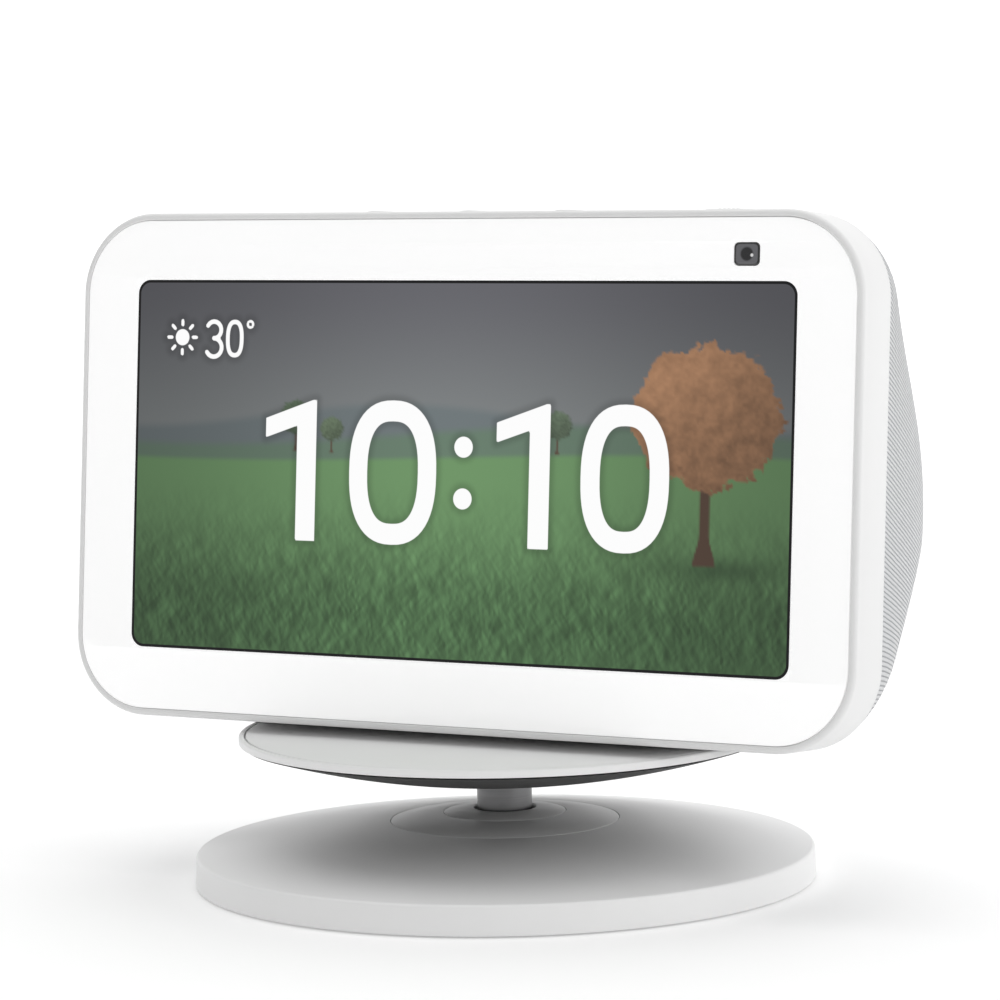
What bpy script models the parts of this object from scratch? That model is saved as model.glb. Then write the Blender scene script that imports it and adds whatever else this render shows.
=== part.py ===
"""Smart display on its magnetic stand, modelled as an assembly of separate parts.

World frame: metres, +Z up, origin at the centre of the stand's rubber ring, on the table.
The screen looks along -Y and leans back. The stand's neck swivels about Z, the plate tilts
about X on a pin inside the dish, and the display lifts straight off the plate.
"""
import math

import bmesh
import bpy
from mathutils import Matrix, Vector

MM = 0.001
GAP = 0.3 * MM              # clearance between neighbouring pieces

# Stand: base
BASE_RADIUS = 53.1 * MM
BASE_SIDE_TOP = 5.35 * MM   # height of the rim's top above the table
BASE_SIDE_LOW = 0.3 * MM    # the shell stops this far above the table
BASE_RIM_FILLET = 0.55 * MM
BASE_DRAFT = 0.15 * MM
CONE_RISE = 7.6 * MM        # rise of the conical top from its rim to its apex
BASE_WALL = 1.7 * MM
COVER_RADIUS = 19.3 * MM
COLLAR_RADIUS = 10.45 * MM
FOOT_RING = (43.0 * MM, 49.5 * MM, 1.2 * MM)   # inner radius, outer radius, thickness
BOTTOM_PLATE_THICKNESS = 1.0 * MM
WEIGHT_INNER_RADIUS = 9.0 * MM
HUB_THICKNESS = 1.3 * MM
HUB_LOW = 6.3 * MM
BASE_SCREW_CIRCLE = 15.0 * MM
BASE_SCREW_COUNT = 3
BASE_SCREW_RADIUS = 1.5 * MM

# Stand: neck and tilt joint
NECK_RADIUS = 4.7 * MM
NECK_OPENING = 5.3 * MM
SPIGOT_RADIUS = 3.0 * MM
BUSH_LOW = 4.9 * MM
WASHER_THICKNESS = 0.6 * MM
NUT_THICKNESS = 0.8 * MM
KNUCKLE_RADIUS = 3.2 * MM
KNUCKLE_HALF = 3.3 * MM
PIN_RADIUS = 1.5 * MM
PIN_HEIGHT = 19.7 * MM
FRICTION_WASHER = 0.5 * MM
EAR_THICKNESS = 1.2 * MM
EAR_RADIUS = 2.6 * MM
FLANGE_REACH = 13.0 * MM
FLANGE_SIDE = 1.4 * MM       # the flange is this much wider than the ear, each side

# Stand: plate
PLATE_RADIUS = 45.2 * MM
PLATE_TOP = 25.65 * MM
PLATE_RIM_HEIGHT = 1.3 * MM
PLATE_RIM_WIDTH = 0.9 * MM
PLATE_FLOOR = 1.5 * MM      # thickness of the carrier below the pad
PLATE_SPIGOT_RADIUS = PLATE_RADIUS - 8.2 * MM
PAD_THICKNESS = 0.5 * MM
DISH_DEPTH = 6.9 * MM
DISH_WALL = 1.3 * MM
DISH_OPENING = 8.5 * MM
DISH_EDGE = 0.6 * MM         # the dish stops this far inside the rim
KEY_SIZE = (45.0 * MM, 8.0 * MM)
KEY_HEIGHT = 3.4 * MM       # above the pad
KEY_CENTRE = (1.5 * MM, -4.2 * MM)
MAGNET_RADIUS = 6.0 * MM
MAGNET_THICKNESS = 2.0 * MM
MAGNET_PLACE = (0.31 * PLATE_RADIUS, EAR_RADIUS + FLANGE_SIDE + GAP + MAGNET_RADIUS)

# Display: front
FACE_WIDTH = 148.0 * MM
FACE_HEIGHT = 87.0 * MM
FACE_CORNER = 14.0 * MM
KEY_SETBACK = 1.49 * MM      # from the band's foot back to the key
LEAN = math.radians(5.2)
BAND_DEPTH = 11.0 * MM
BAND_WALL = 1.8 * MM
LIP_WIDTH = 1.15 * MM
LIP_FILLET = 0.9 * MM
LEDGE_REACH = 3.6 * MM
LEDGE_DEPTH = 1.7 * MM
LEDGE_THICKNESS = 1.5 * MM
GLASS_DEPTH = 0.15 * MM
GLASS_THICKNESS = 1.1 * MM
SCREEN_SIZE = (124.0 * MM, 62.6 * MM)
SCREEN_RISE = 0.2 * MM
PANEL_MARGIN = 1.2 * MM
PANEL_THICKNESS = 1.4 * MM
BACKLIGHT_THICKNESS = 1.75 * MM
CHASSIS_THICKNESS = 1.2 * MM
CHASSIS_TOP = 35.5 * MM
CHASSIS_BOTTOM = -41.0 * MM

# Display: rear
REAR_DEPTH = 57.0 * MM      # greatest depth of the fabric behind the band
REAR_TOP_DEPTH = 3.0 * MM
REAR_FOOT_DEPTH = 40.0 * MM
REAR_WIDEST = -12.0 * MM    # height of the deepest section, from the face's centre
REAR_SQUARENESS = 2.33      # superellipse power of the upper sections
REAR_TAPER = 1.05           # how much that power falls towards the foot
REAR_SWELL = 0.42           # how much it rises round the middle
REAR_SWELL_HEIGHT = 6.0 * MM
REAR_SWELL_REACH = 22.0 * MM
SEAM_INSET = 0.3 * MM       # step from the band in to the fabric
FABRIC_THICKNESS = 0.9 * MM
HOUSING_WALL = 2.0 * MM
HOUSING_FLOOR = 2.5 * MM
FOOT_THICKNESS = 1.6 * MM
FOOT_PROUD = 0.7 * MM       # how far the rubber foot stands below the housing
FOOT_MARGIN = 5.0 * MM
KEY_HEADROOM = 0.5 * MM

# Display: controls, camera and electronics
BUTTON_RADIUS = 2.8 * MM
BUTTON_FLANGE = 0.7 * MM    # how far the flange reaches past the button
BUTTON_PROUD = 0.4 * MM
BUTTON_DEPTH = 7.1 * MM     # centre of the buttons behind the face
BUTTONS = {"mic_mute": -18.0 * MM, "volume_down": 0.0, "volume_up": 18.0 * MM}
CAMERA_PLACE = (53.4 * MM, 36.3 * MM)
CAMERA_WINDOW = (4.4 * MM, 3.6 * MM)
SHUTTER_TRAVEL = 5.5 * MM
SHUTTER_KNOB = (9.0 * MM, 3.4 * MM)
SHUTTER_DEPTH = 5.6 * MM     # centre of the knob behind the face
SHUTTER_SINK = 0.75 * MM     # depth of the knob's track in the band
SHUTTER_BLADE = (5.2 * MM, 0.35 * MM)   # width, thickness
BOARD_SIZE = (90.0 * MM, 50.0 * MM)
BOARD_DEPTH = 10.0 * MM
BOARD_THICKNESS = 1.6 * MM
SPEAKER_RADIUS = 21.0 * MM
SPEAKER_HEIGHT = -8.0 * MM
JACK_PLACE = (-20.0 * MM, -29.0 * MM)
JACK_BORE = 3.1 * MM
JACK_RADIUS = 4.8 * MM
JACK_LENGTH = 9.0 * MM

FINE = 44                   # segments round the large turned pieces
COARSE = 18                 # segments round the small ones

# Sizes that follow from the ones above
PAD_LOW = PLATE_TOP - PAD_THICKNESS
CARRIER_TOP = PAD_LOW - GAP
CARRIER_LOW = CARRIER_TOP - PLATE_FLOOR
RIM_LOW = PLATE_TOP - PLATE_RIM_HEIGHT
DISH_TOP = RIM_LOW - GAP
COVER_LOW = HUB_LOW + HUB_THICKNESS + GAP
BAND_REAR_Y = BAND_DEPTH * math.cos(LEAN) + GAP
BAND_REAR_Z = -BAND_DEPTH * math.sin(LEAN)
FACE_Y = (KEY_CENTRE[1] - KEY_SIZE[1] / 2 - KEY_SETBACK - BAND_REAR_Y
          + FACE_HEIGHT / 2 * math.sin(LEAN))   # the face's centre, from the stand's axis
HOUSING_LOW = BAND_REAR_Z - FACE_HEIGHT / 2 * math.cos(LEAN)
FOOT_LOW = HOUSING_LOW - FOOT_PROUD
FACE_Z = PLATE_TOP + GAP - FOOT_LOW
PANEL_DEPTH = GLASS_DEPTH + GLASS_THICKNESS + GAP
BACKLIGHT_DEPTH = PANEL_DEPTH + PANEL_THICKNESS + GAP
CHASSIS_DEPTH = BACKLIGHT_DEPTH + BACKLIGHT_THICKNESS + GAP


# ---------------------------------------------------------------- materials and helpers
def material(name, colour, roughness, metallic=0.0):
    """A plain Principled material."""
    mat = bpy.data.materials.new(name)
    mat.use_nodes = True
    shader = mat.node_tree.nodes["Principled BSDF"]
    shader.inputs["Base Color"].default_value = (*colour, 1.0)
    shader.inputs["Roughness"].default_value = roughness
    shader.inputs["Metallic"].default_value = metallic
    return mat


def empty(name, place, lean=0.0):
    """A frame for child objects."""
    frame = bpy.data.objects.new(name, None)
    bpy.context.collection.objects.link(frame)
    frame.location = place
    frame.rotation_euler.x = lean
    return frame


def solid(name, mesh, mat, parent=None, place=(0.0, 0.0, 0.0)):
    """Turn a bmesh drawn in its parent's frame into an object whose origin is at place."""
    bmesh.ops.recalc_face_normals(mesh, faces=mesh.faces)
    mesh.transform(Matrix.Translation(-Vector(place)))
    data = bpy.data.meshes.new(name)
    mesh.to_mesh(data)
    mesh.free()
    data.shade_smooth()
    data.set_sharp_from_angle(angle=math.radians(35))
    thing = bpy.data.objects.new(name, data)
    bpy.context.collection.objects.link(thing)
    thing.location = place
    thing.parent = parent
    if mat is not None:
        data.materials.append(mat)
    return thing


def boolean(target, name, mesh, operation="DIFFERENCE"):
    """Cut a bmesh out of target, or join it on; the tool object stays as a guide."""
    tool = solid(name, mesh, None, target.parent)
    tool.hide_render = True
    tool.display_type = "WIRE"
    step = target.modifiers.new(name, "BOOLEAN")
    step.operation = operation
    step.solver = "EXACT"
    step.object = tool


def prism(outline, low, high, axis="Z"):
    """Extrude a closed outline from low to high along Z, Y or X of its frame."""
    place = {"Z": lambda u, v, w: (u, v, w), "Y": lambda u, v, w: (u, w, v),
             "X": lambda u, v, w: (w, u, v)}[axis]
    mesh = bmesh.new()
    face = mesh.faces.new([mesh.verts.new(place(u, v, low)) for u, v in outline])
    grown = bmesh.ops.extrude_face_region(mesh, geom=[face])["geom"]
    shift = Vector(place(0.0, 0.0, high - low))
    bmesh.ops.translate(mesh, vec=shift, verts=[g for g in grown if isinstance(g, bmesh.types.BMVert)])
    return mesh


def rounded(width, height, radius, centre=(0.0, 0.0), steps=5):
    """Outline of a rectangle with round corners, counter-clockwise."""
    points = []
    for corner, (sx, sy) in enumerate(((1, 1), (-1, 1), (-1, -1), (1, -1))):
        for step in range(steps + 1):
            turn = math.pi / 2 * (corner + step / steps)
            points.append((centre[0] + sx * (width / 2 - radius) + radius * math.cos(turn),
                           centre[1] + sy * (height / 2 - radius) + radius * math.sin(turn)))
    return points


def circle(radius, centre=(0.0, 0.0), steps=COARSE):
    """Outline of a circle, counter-clockwise."""
    return [(centre[0] + radius * math.cos(2 * math.pi * i / steps),
             centre[1] + radius * math.sin(2 * math.pi * i / steps)) for i in range(steps)]


def box(low, high):
    """A rectangular block between two corners."""
    return prism([(low[0], low[1]), (high[0], low[1]), (high[0], high[1]), (low[0], high[1])],
                 low[2], high[2])


def arc(centre, radius, start, stop, steps=4):
    """Points along an arc, angles in degrees."""
    turns = [math.radians(start + (stop - start) * i / steps) for i in range(steps + 1)]
    return [(centre[0] + radius * math.cos(t), centre[1] + radius * math.sin(t)) for t in turns]


def turned(profile, steps=FINE, axis="Z", centre=(0.0, 0.0, 0.0)):
    """Spin a closed (radius, height) profile about an axis through centre."""
    mesh = bmesh.new()
    verts = [mesh.verts.new((radius, 0.0, height)) for radius, height in profile]
    edges = [mesh.edges.new((verts[i - 1], verts[i])) for i in range(len(verts))
             if profile[i - 1][0] > 0.0 or profile[i][0] > 0.0]
    bmesh.ops.spin(mesh, geom=verts + edges, axis=(0, 0, 1), cent=(0, 0, 0),
                   angle=2 * math.pi, steps=steps, use_merge=True)
    bmesh.ops.remove_doubles(mesh, verts=mesh.verts, dist=0.001 * MM)
    if axis == "Y":
        mesh.transform(Matrix.Rotation(-math.pi / 2, 4, "X"))
    mesh.transform(Matrix.Translation(centre))
    return mesh


# ---------------------------------------------------------------- stand: base
def cone_height(radius):
    """Height of the base's conical top."""
    rim = BASE_RADIUS - BASE_DRAFT - BASE_RIM_FILLET
    return BASE_SIDE_TOP + CONE_RISE * (1 - radius / rim)


def base_shell(mat):
    """Pressed cover: drafted side, small rim fillet, shallow cone with a round opening."""
    side = BASE_RADIUS - BASE_DRAFT
    opening = COVER_RADIUS + GAP
    inner = side - BASE_WALL
    fillet = arc((side - BASE_RIM_FILLET, BASE_SIDE_TOP - BASE_RIM_FILLET), BASE_RIM_FILLET, 0, 90)
    profile = [(BASE_RADIUS, BASE_SIDE_LOW), *fillet, (opening, cone_height(opening)),
               (opening, cone_height(opening) - BASE_WALL), (inner, cone_height(inner) - BASE_WALL),
               (inner, BASE_SIDE_LOW)]
    solid("base_shell", turned(profile), mat)


def base_inside(rubber, steel, iron, bronze, zinc):
    """Rubber ring, bottom plate, weight, hub and the screws that clamp them together."""
    inner, outer, thick = FOOT_RING
    solid("base_foot_ring", turned([(inner, 0), (outer, 0), (outer, thick), (inner, thick)]), rubber)

    plate_low = thick + GAP
    plate_top = plate_low + BOTTOM_PLATE_THICKNESS
    rim = BASE_RADIUS - BASE_DRAFT - BASE_WALL - GAP
    plate = solid("base_bottom_plate", prism(circle(rim, steps=FINE), plate_low, plate_top), steel)

    low = plate_top + GAP
    edge = rim - GAP
    step = COVER_RADIUS + GAP
    top = HUB_LOW - GAP
    drop = BASE_WALL + GAP
    weight = solid("base_weight", turned([
        (WEIGHT_INNER_RADIUS, low), (edge, low), (edge, cone_height(edge) - drop),
        (step, cone_height(step) - drop), (step, top), (WEIGHT_INNER_RADIUS, top)]), iron)

    bore = NECK_OPENING
    hub_top = HUB_LOW + HUB_THICKNESS
    hub = solid("base_hub", turned([
        (bore, HUB_LOW), (COVER_RADIUS - GAP, HUB_LOW), (COVER_RADIUS - GAP, hub_top),
        (bore, hub_top)], 32), zinc)

    bush_top = COVER_LOW + 1.6 * MM
    solid("swivel_bush", turned([
        (SPIGOT_RADIUS + GAP, BUSH_LOW), (bore - GAP, BUSH_LOW), (bore - GAP, bush_top),
        (SPIGOT_RADIUS + GAP, bush_top)], COARSE), bronze)

    for index in range(BASE_SCREW_COUNT):
        turn = 2 * math.pi * index / BASE_SCREW_COUNT + math.pi / 2
        centre = (BASE_SCREW_CIRCLE * math.cos(turn), BASE_SCREW_CIRCLE * math.sin(turn))
        for target in (plate, weight, hub):
            boolean(target, f"{target.name}_hole_{index + 1}",
                    prism(circle(BASE_SCREW_RADIUS + GAP, centre, 12), 0.0, hub_top + 1 * MM))
        head = 2.8 * MM
        head_low = plate_low - GAP - 0.7 * MM
        solid(f"base_screw_{index + 1}", turned([
            (0, head_low), (head, head_low), (head, plate_low - GAP),
            (BASE_SCREW_RADIUS, plate_low - GAP), (BASE_SCREW_RADIUS, hub_top - GAP),
            (0, hub_top - GAP)], 12, centre=(*centre, 0.0)), steel)


def base_rings(mat):
    """The two rings round the neck, which carry the cone on inwards."""
    inner = COLLAR_RADIUS + GAP
    solid("base_cover_ring", turned([
        (inner, COVER_LOW), (COVER_RADIUS, COVER_LOW), (COVER_RADIUS, cone_height(COVER_RADIUS)),
        (inner, cone_height(inner))]), mat)
    solid("neck_collar", turned([
        (NECK_OPENING, COVER_LOW), (COLLAR_RADIUS, COVER_LOW),
        (COLLAR_RADIUS, cone_height(COLLAR_RADIUS)), (NECK_OPENING, cone_height(NECK_OPENING))],
        32), mat)


# ---------------------------------------------------------------- stand: neck and tilt joint
def neck_parts(steel, plastic, bronze):
    """Stem with its spigot below and its bored knuckle above, held in the bush by a nut."""
    shoulder = COVER_LOW + 1.6 * MM + GAP
    washer_top = BUSH_LOW - GAP
    nut_top = washer_top - WASHER_THICKNESS - GAP
    stem_top = PIN_HEIGHT - KNUCKLE_RADIUS
    neck = solid("neck", turned([
        (0, nut_top - NUT_THICKNESS), (SPIGOT_RADIUS, nut_top - NUT_THICKNESS),
        (SPIGOT_RADIUS, shoulder), (NECK_RADIUS, shoulder), (NECK_RADIUS, stem_top),
        (0, stem_top)], 24), steel)
    crown = arc((0, PIN_HEIGHT), KNUCKLE_RADIUS, 0, 180, 10)
    foot = stem_top - 0.8 * MM
    outline = [(KNUCKLE_RADIUS, foot), *crown, (-KNUCKLE_RADIUS, foot)]
    boolean(neck, "neck_knuckle", prism(outline, -KNUCKLE_HALF, KNUCKLE_HALF, "X"), "UNION")
    boolean(neck, "neck_bore", prism(circle(PIN_RADIUS + GAP, (0, PIN_HEIGHT), 20),
                                     -2 * KNUCKLE_HALF, 2 * KNUCKLE_HALF, "X"))
    bore = SPIGOT_RADIUS + GAP
    solid("swivel_washer", turned([
        (bore, washer_top - WASHER_THICKNESS), (5.5 * MM, washer_top - WASHER_THICKNESS),
        (5.5 * MM, washer_top), (bore, washer_top)], COARSE), plastic)
    solid("swivel_nut", turned([
        (bore, nut_top - NUT_THICKNESS), (5.0 * MM, nut_top - NUT_THICKNESS),
        (5.0 * MM, nut_top), (bore, nut_top)], 12), bronze)


def tilt_parts(frame, steel, plastic):
    """Pin, friction washers, and the two brackets with the screws that hold them up."""
    ear = KNUCKLE_HALF + FRICTION_WASHER + 2 * GAP
    outside = ear + EAR_THICKNESS
    flange_top = CARRIER_LOW - GAP
    flange_low = flange_top - 1.1 * MM
    solid("tilt_pin", prism(circle(PIN_RADIUS, steps=20), -outside - 0.5 * MM,
                            outside + 0.5 * MM, "X"), steel, frame)
    for side, sign in (("left", -1), ("right", 1)):
        ends = sorted((sign * (KNUCKLE_HALF + GAP), sign * (KNUCKLE_HALF + GAP + FRICTION_WASHER)))
        washer = solid(f"tilt_washer_{side}", prism(circle(EAR_RADIUS), *ends, "X"), plastic, frame)
        boolean(washer, f"tilt_washer_{side}_bore",
                prism(circle(PIN_RADIUS + GAP, steps=20), ends[0] - MM, ends[1] + MM, "X"))

        below = [(EAR_RADIUS * math.cos(t), EAR_RADIUS * math.sin(t))
                 for t in (math.pi * (1 + i / 8) for i in range(9))]
        rise = flange_top - PIN_HEIGHT
        outline = [*below, (EAR_RADIUS, rise), (-EAR_RADIUS, rise)]
        ends = sorted((sign * ear, sign * outside))
        bracket = solid(f"tilt_bracket_{side}", prism(outline, *ends, "X"), steel, frame)
        flange = sorted((sign * (ear + 0.2 * MM), sign * FLANGE_REACH))
        boolean(bracket, f"tilt_bracket_{side}_flange",
                box((flange[0], -EAR_RADIUS - FLANGE_SIDE, flange_low - PIN_HEIGHT),
                    (flange[1], EAR_RADIUS + FLANGE_SIDE, rise - 0.01 * MM)), "UNION")
        boolean(bracket, f"tilt_bracket_{side}_bore",
                prism(circle(PIN_RADIUS + GAP, steps=20), ends[0] - MM, ends[1] + MM, "X"))
        centre = (sign * bracket_screw_x(), 0.0)
        boolean(bracket, f"tilt_bracket_{side}_hole",
                prism(circle(1.3 * MM, centre, 12), flange_low - PIN_HEIGHT - MM, rise + MM))
        head_top = flange_low - GAP - PIN_HEIGHT
        solid(f"bracket_screw_{side}", turned([
            (0, head_top - 0.7 * MM), (2.0 * MM, head_top - 0.7 * MM), (2.0 * MM, head_top),
            (1.0 * MM, head_top), (1.0 * MM, CARRIER_TOP - GAP - PIN_HEIGHT),
            (0, CARRIER_TOP - GAP - PIN_HEIGHT)], 12, centre=(*centre, 0.0)), steel, frame)


def bracket_screw_x():
    """Where the bracket screws stand, midway along the free flange."""
    wall = KNUCKLE_HALF + FRICTION_WASHER + 2 * GAP + EAR_THICKNESS
    return (wall + FLANGE_REACH) / 2 + 0.4 * MM


# ---------------------------------------------------------------- stand: plate
def dish_height(radius):
    """Height of the dish's underside, a shallow paraboloid."""
    return DISH_TOP - DISH_DEPTH * (1 - (radius / (PLATE_RADIUS - DISH_EDGE)) ** 2)


def key_outline(grow=0.0):
    """Outline of the key on the plate, or of the holes round it."""
    return rounded(KEY_SIZE[0] + 2 * grow, KEY_SIZE[1] + 2 * grow, KEY_SIZE[1] / 2 + grow - 0.05 * MM,
                   KEY_CENTRE)


def plate_parts(white, pad_white, dark, neodymium):
    """Dish, carrier with its rim, pad, key and magnets; all turn on the tilt pin."""
    frame = TILT_FRAME
    down = Matrix.Translation((0, 0, -PIN_HEIGHT))
    edge = PLATE_RADIUS - DISH_EDGE
    inner_edge = edge * math.sqrt(1 - DISH_WALL / DISH_DEPTH)
    rings = 5
    outer = [DISH_OPENING + (edge - DISH_OPENING) * i / rings for i in range(rings + 1)]
    inner = [inner_edge + (DISH_OPENING - inner_edge) * i / rings for i in range(rings + 1)]
    profile = [(r, dish_height(r)) for r in outer] + [(r, dish_height(r) + DISH_WALL) for r in inner]
    dish = turned(profile)
    dish.transform(down)
    solid("dish_lower_shell", dish, dark, frame)

    rim_inner = PLATE_RADIUS - PLATE_RIM_WIDTH
    fillet = 0.35 * MM
    carrier = turned([
        (0, CARRIER_LOW), (PLATE_SPIGOT_RADIUS, CARRIER_LOW), (PLATE_SPIGOT_RADIUS, RIM_LOW),
        (PLATE_RADIUS, RIM_LOW),
        *arc((PLATE_RADIUS - fillet, PLATE_TOP - fillet), fillet, 0, 90, 3),
        (rim_inner, PLATE_TOP), (rim_inner, CARRIER_TOP), (0, CARRIER_TOP)])
    carrier.transform(down)
    carrier = solid("plate_carrier", carrier, white, frame)
    for side, sign in (("left", -1), ("right", 1)):
        boolean(carrier, f"plate_carrier_hole_{side}",
                prism(circle(1.3 * MM, (sign * bracket_screw_x(), 0.0), 12),
                      CARRIER_LOW - PIN_HEIGHT - MM, PLATE_TOP - PIN_HEIGHT))
        place = (sign * MAGNET_PLACE[0], MAGNET_PLACE[1])
        top = CARRIER_LOW - GAP - PIN_HEIGHT
        solid(f"plate_magnet_{side}", prism(circle(MAGNET_RADIUS, place), top - MAGNET_THICKNESS, top),
              neodymium, frame)

    pad = solid("plate_pad", prism(circle(rim_inner - GAP, steps=FINE), PAD_LOW - PIN_HEIGHT,
                                   PLATE_TOP - PIN_HEIGHT), pad_white, frame)
    boolean(pad, "plate_pad_slot", prism(key_outline(GAP), PAD_LOW - PIN_HEIGHT - MM,
                                         PLATE_TOP - PIN_HEIGHT + MM))
    solid("plate_key", prism(key_outline(), PAD_LOW - PIN_HEIGHT,
                             PLATE_TOP + KEY_HEIGHT - PIN_HEIGHT), white, frame)


# ---------------------------------------------------------------- display: front
def face_outline(inset, steps=5):
    """The face's rounded outline, moved inwards."""
    return rounded(FACE_WIDTH - 2 * inset, FACE_HEIGHT - 2 * inset, FACE_CORNER - inset, steps=steps)


def bezel_frame(mat):
    """Rounded frame: raised lip round the glass, ledge behind it, and the plain band."""
    ledge_rear = LEDGE_DEPTH + LEDGE_THICKNESS
    section = [(LIP_FILLET * (1 - math.cos(t)), LIP_FILLET * (1 - math.sin(t)))
               for t in (math.pi / 2 * i / 4 for i in range(5))]
    section += [(LIP_WIDTH, 0.0), (LIP_WIDTH, LEDGE_DEPTH), (LEDGE_REACH, LEDGE_DEPTH),
                (LEDGE_REACH, ledge_rear), (BAND_WALL, ledge_rear), (BAND_WALL, BAND_DEPTH),
                (0.0, BAND_DEPTH)]
    mesh = bmesh.new()
    loops = [[mesh.verts.new((x, depth, z)) for x, z in face_outline(inset)]
             for inset, depth in section]
    for index, loop in enumerate(loops):
        nearer = loops[index - 1]
        for k in range(len(loop)):
            mesh.faces.new((nearer[k - 1], nearer[k], loop[k], loop[k - 1]))
    bezel = solid("bezel_frame", mesh, mat, FACE)

    high = FACE_HEIGHT / 2
    for name, x in BUTTONS.items():
        tool = turned([(0, high - 4 * MM), (BUTTON_RADIUS + GAP, high - 4 * MM),
                       (BUTTON_RADIUS + GAP, high + MM), (0, high + MM)], COARSE,
                      centre=(x, BUTTON_DEPTH, 0))
        boolean(bezel, f"bezel_hole_{name}", tool)
    middle = shutter_x() + SHUTTER_TRAVEL / 2
    track = SHUTTER_KNOB[0] + SHUTTER_TRAVEL + 2 * GAP
    boolean(bezel, "bezel_shutter_track",
            prism(rounded(track, SHUTTER_KNOB[1] + 2 * GAP, SHUTTER_KNOB[1] / 2, (middle, SHUTTER_DEPTH)),
                  high - SHUTTER_SINK - GAP, high + MM))
    slot = (3.0 * MM + SHUTTER_TRAVEL) / 2 + GAP
    boolean(bezel, "bezel_shutter_slot",
            box((middle - slot, SHUTTER_DEPTH - MM, high - 3 * MM),
                (middle + slot, SHUTTER_DEPTH + MM, high - SHUTTER_SINK)))
    notch = (SHUTTER_BLADE[0] + SHUTTER_TRAVEL) / 2 + GAP
    boolean(bezel, "bezel_shutter_notch",
            box((middle - notch, PANEL_DEPTH - 0.15 * MM, high - 5 * MM),
                (middle + notch, ledge_rear + 0.4 * MM, high - BAND_WALL)))


def shutter_x():
    """Centre of the shutter when open, to the left of the camera."""
    return CAMERA_PLACE[0] - SHUTTER_TRAVEL


def front_stack(glass, panel, frame_black, aluminium):
    """Cover glass, panel, backlight and chassis, one behind the other."""
    cover = solid("front_glass", prism(face_outline(LIP_WIDTH + GAP), GLASS_DEPTH,
                                       GLASS_DEPTH + GLASS_THICKNESS, "Y"), glass, FACE)
    hole = rounded(CAMERA_WINDOW[0] + 2 * GAP, CAMERA_WINDOW[1] + 2 * GAP, 0.9 * MM, CAMERA_PLACE, 3)
    boolean(cover, "front_glass_hole", prism(hole, -MM, 3 * MM, "Y"))

    size = (SCREEN_SIZE[0] + 2 * PANEL_MARGIN, SCREEN_SIZE[1] + 2 * PANEL_MARGIN)
    centre = (0.0, SCREEN_RISE)
    solid("lcd_panel", prism(rounded(*size, 0.5 * MM, centre, 1), PANEL_DEPTH,
                             PANEL_DEPTH + PANEL_THICKNESS, "Y"), panel, FACE)
    solid("backlight_frame", prism(rounded(size[0] + 1.6 * MM, size[1] + 1.0 * MM, MM, centre, 2),
                                   BACKLIGHT_DEPTH, BACKLIGHT_DEPTH + BACKLIGHT_THICKNESS, "Y"),
          frame_black, FACE)

    middle = (CHASSIS_TOP + CHASSIS_BOTTOM) / 2
    width = FACE_WIDTH - 2 * BAND_WALL - 0.8 * MM
    rear = CHASSIS_DEPTH + CHASSIS_THICKNESS
    chassis = solid("mid_chassis", prism(
        rounded(width, CHASSIS_TOP - CHASSIS_BOTTOM, FACE_CORNER - BAND_WALL, (0, middle)),
        CHASSIS_DEPTH, rear, "Y"), aluminium, FACE)
    flex_low = SCREEN_RISE - SCREEN_SIZE[1] / 2 - 6.4 * MM
    boolean(chassis, "mid_chassis_slot", box((-9.6 * MM, CHASSIS_DEPTH - MM, flex_low),
                                             (9.6 * MM, rear + MM, flex_low + 4.4 * MM)))
    for index, (x, z) in enumerate(board_corners()):
        boolean(chassis, f"mid_chassis_post_{index + 1}",
                prism(circle(2.3 * MM, (x, z), 12), rear - 0.5 * MM, BOARD_DEPTH - GAP, "Y"), "UNION")
        boolean(chassis, f"mid_chassis_bore_{index + 1}",
                prism(circle(1.2 * MM, (x, z), 8), CHASSIS_DEPTH - MM, BOARD_DEPTH + MM, "Y"))


def controls(white, rubber, board_green, black):
    """Three press buttons on the top edge, with the switches and board under them."""
    high = FACE_HEIGHT / 2
    inside = high - BAND_WALL
    flange = BUTTON_RADIUS + BUTTON_FLANGE
    for name, x in BUTTONS.items():
        place = (x, BUTTON_DEPTH, high)
        flange_top = inside - 0.5 * MM
        mesh = turned([
            (0, flange_top - 1.0 * MM), (1.0 * MM, flange_top - 1.0 * MM),
            (1.0 * MM, flange_top - 0.7 * MM), (flange, flange_top - 0.7 * MM),
            (flange, flange_top), (BUTTON_RADIUS, flange_top),
            (BUTTON_RADIUS, high + BUTTON_PROUD - 0.25 * MM),
            (BUTTON_RADIUS - 0.25 * MM, high + BUTTON_PROUD), (0, high + BUTTON_PROUD)],
            COARSE, centre=(x, BUTTON_DEPTH, 0))
        solid(f"{name}_button", mesh, white, FACE, place)
        top = flange_top - 1.0 * MM - BUTTON_PROUD - GAP
        solid(f"{name}_switch", box((x - 2.2 * MM, BUTTON_DEPTH - 2.2 * MM, top - 1.5 * MM),
                                    (x + 2.2 * MM, BUTTON_DEPTH + 2.2 * MM, top)), black, FACE)
    strip_top = inside - 1.5 * MM - BUTTON_PROUD - 1.5 * MM - 2 * GAP
    solid("button_board", box((-42 * MM, BUTTON_DEPTH - 2.6 * MM, strip_top - MM),
                              (42 * MM, BUTTON_DEPTH + 3.2 * MM, strip_top)), board_green, FACE)
    for side, sign in (("left", -1), ("right", 1)):
        x = sign * 37.0 * MM
        solid(f"microphone_{side}", box((x - 1.9 * MM, BUTTON_DEPTH - 1.4 * MM, strip_top + GAP),
                                        (x + 1.9 * MM, BUTTON_DEPTH + 1.4 * MM, strip_top + 1.4 * MM)),
              rubber, FACE)


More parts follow.
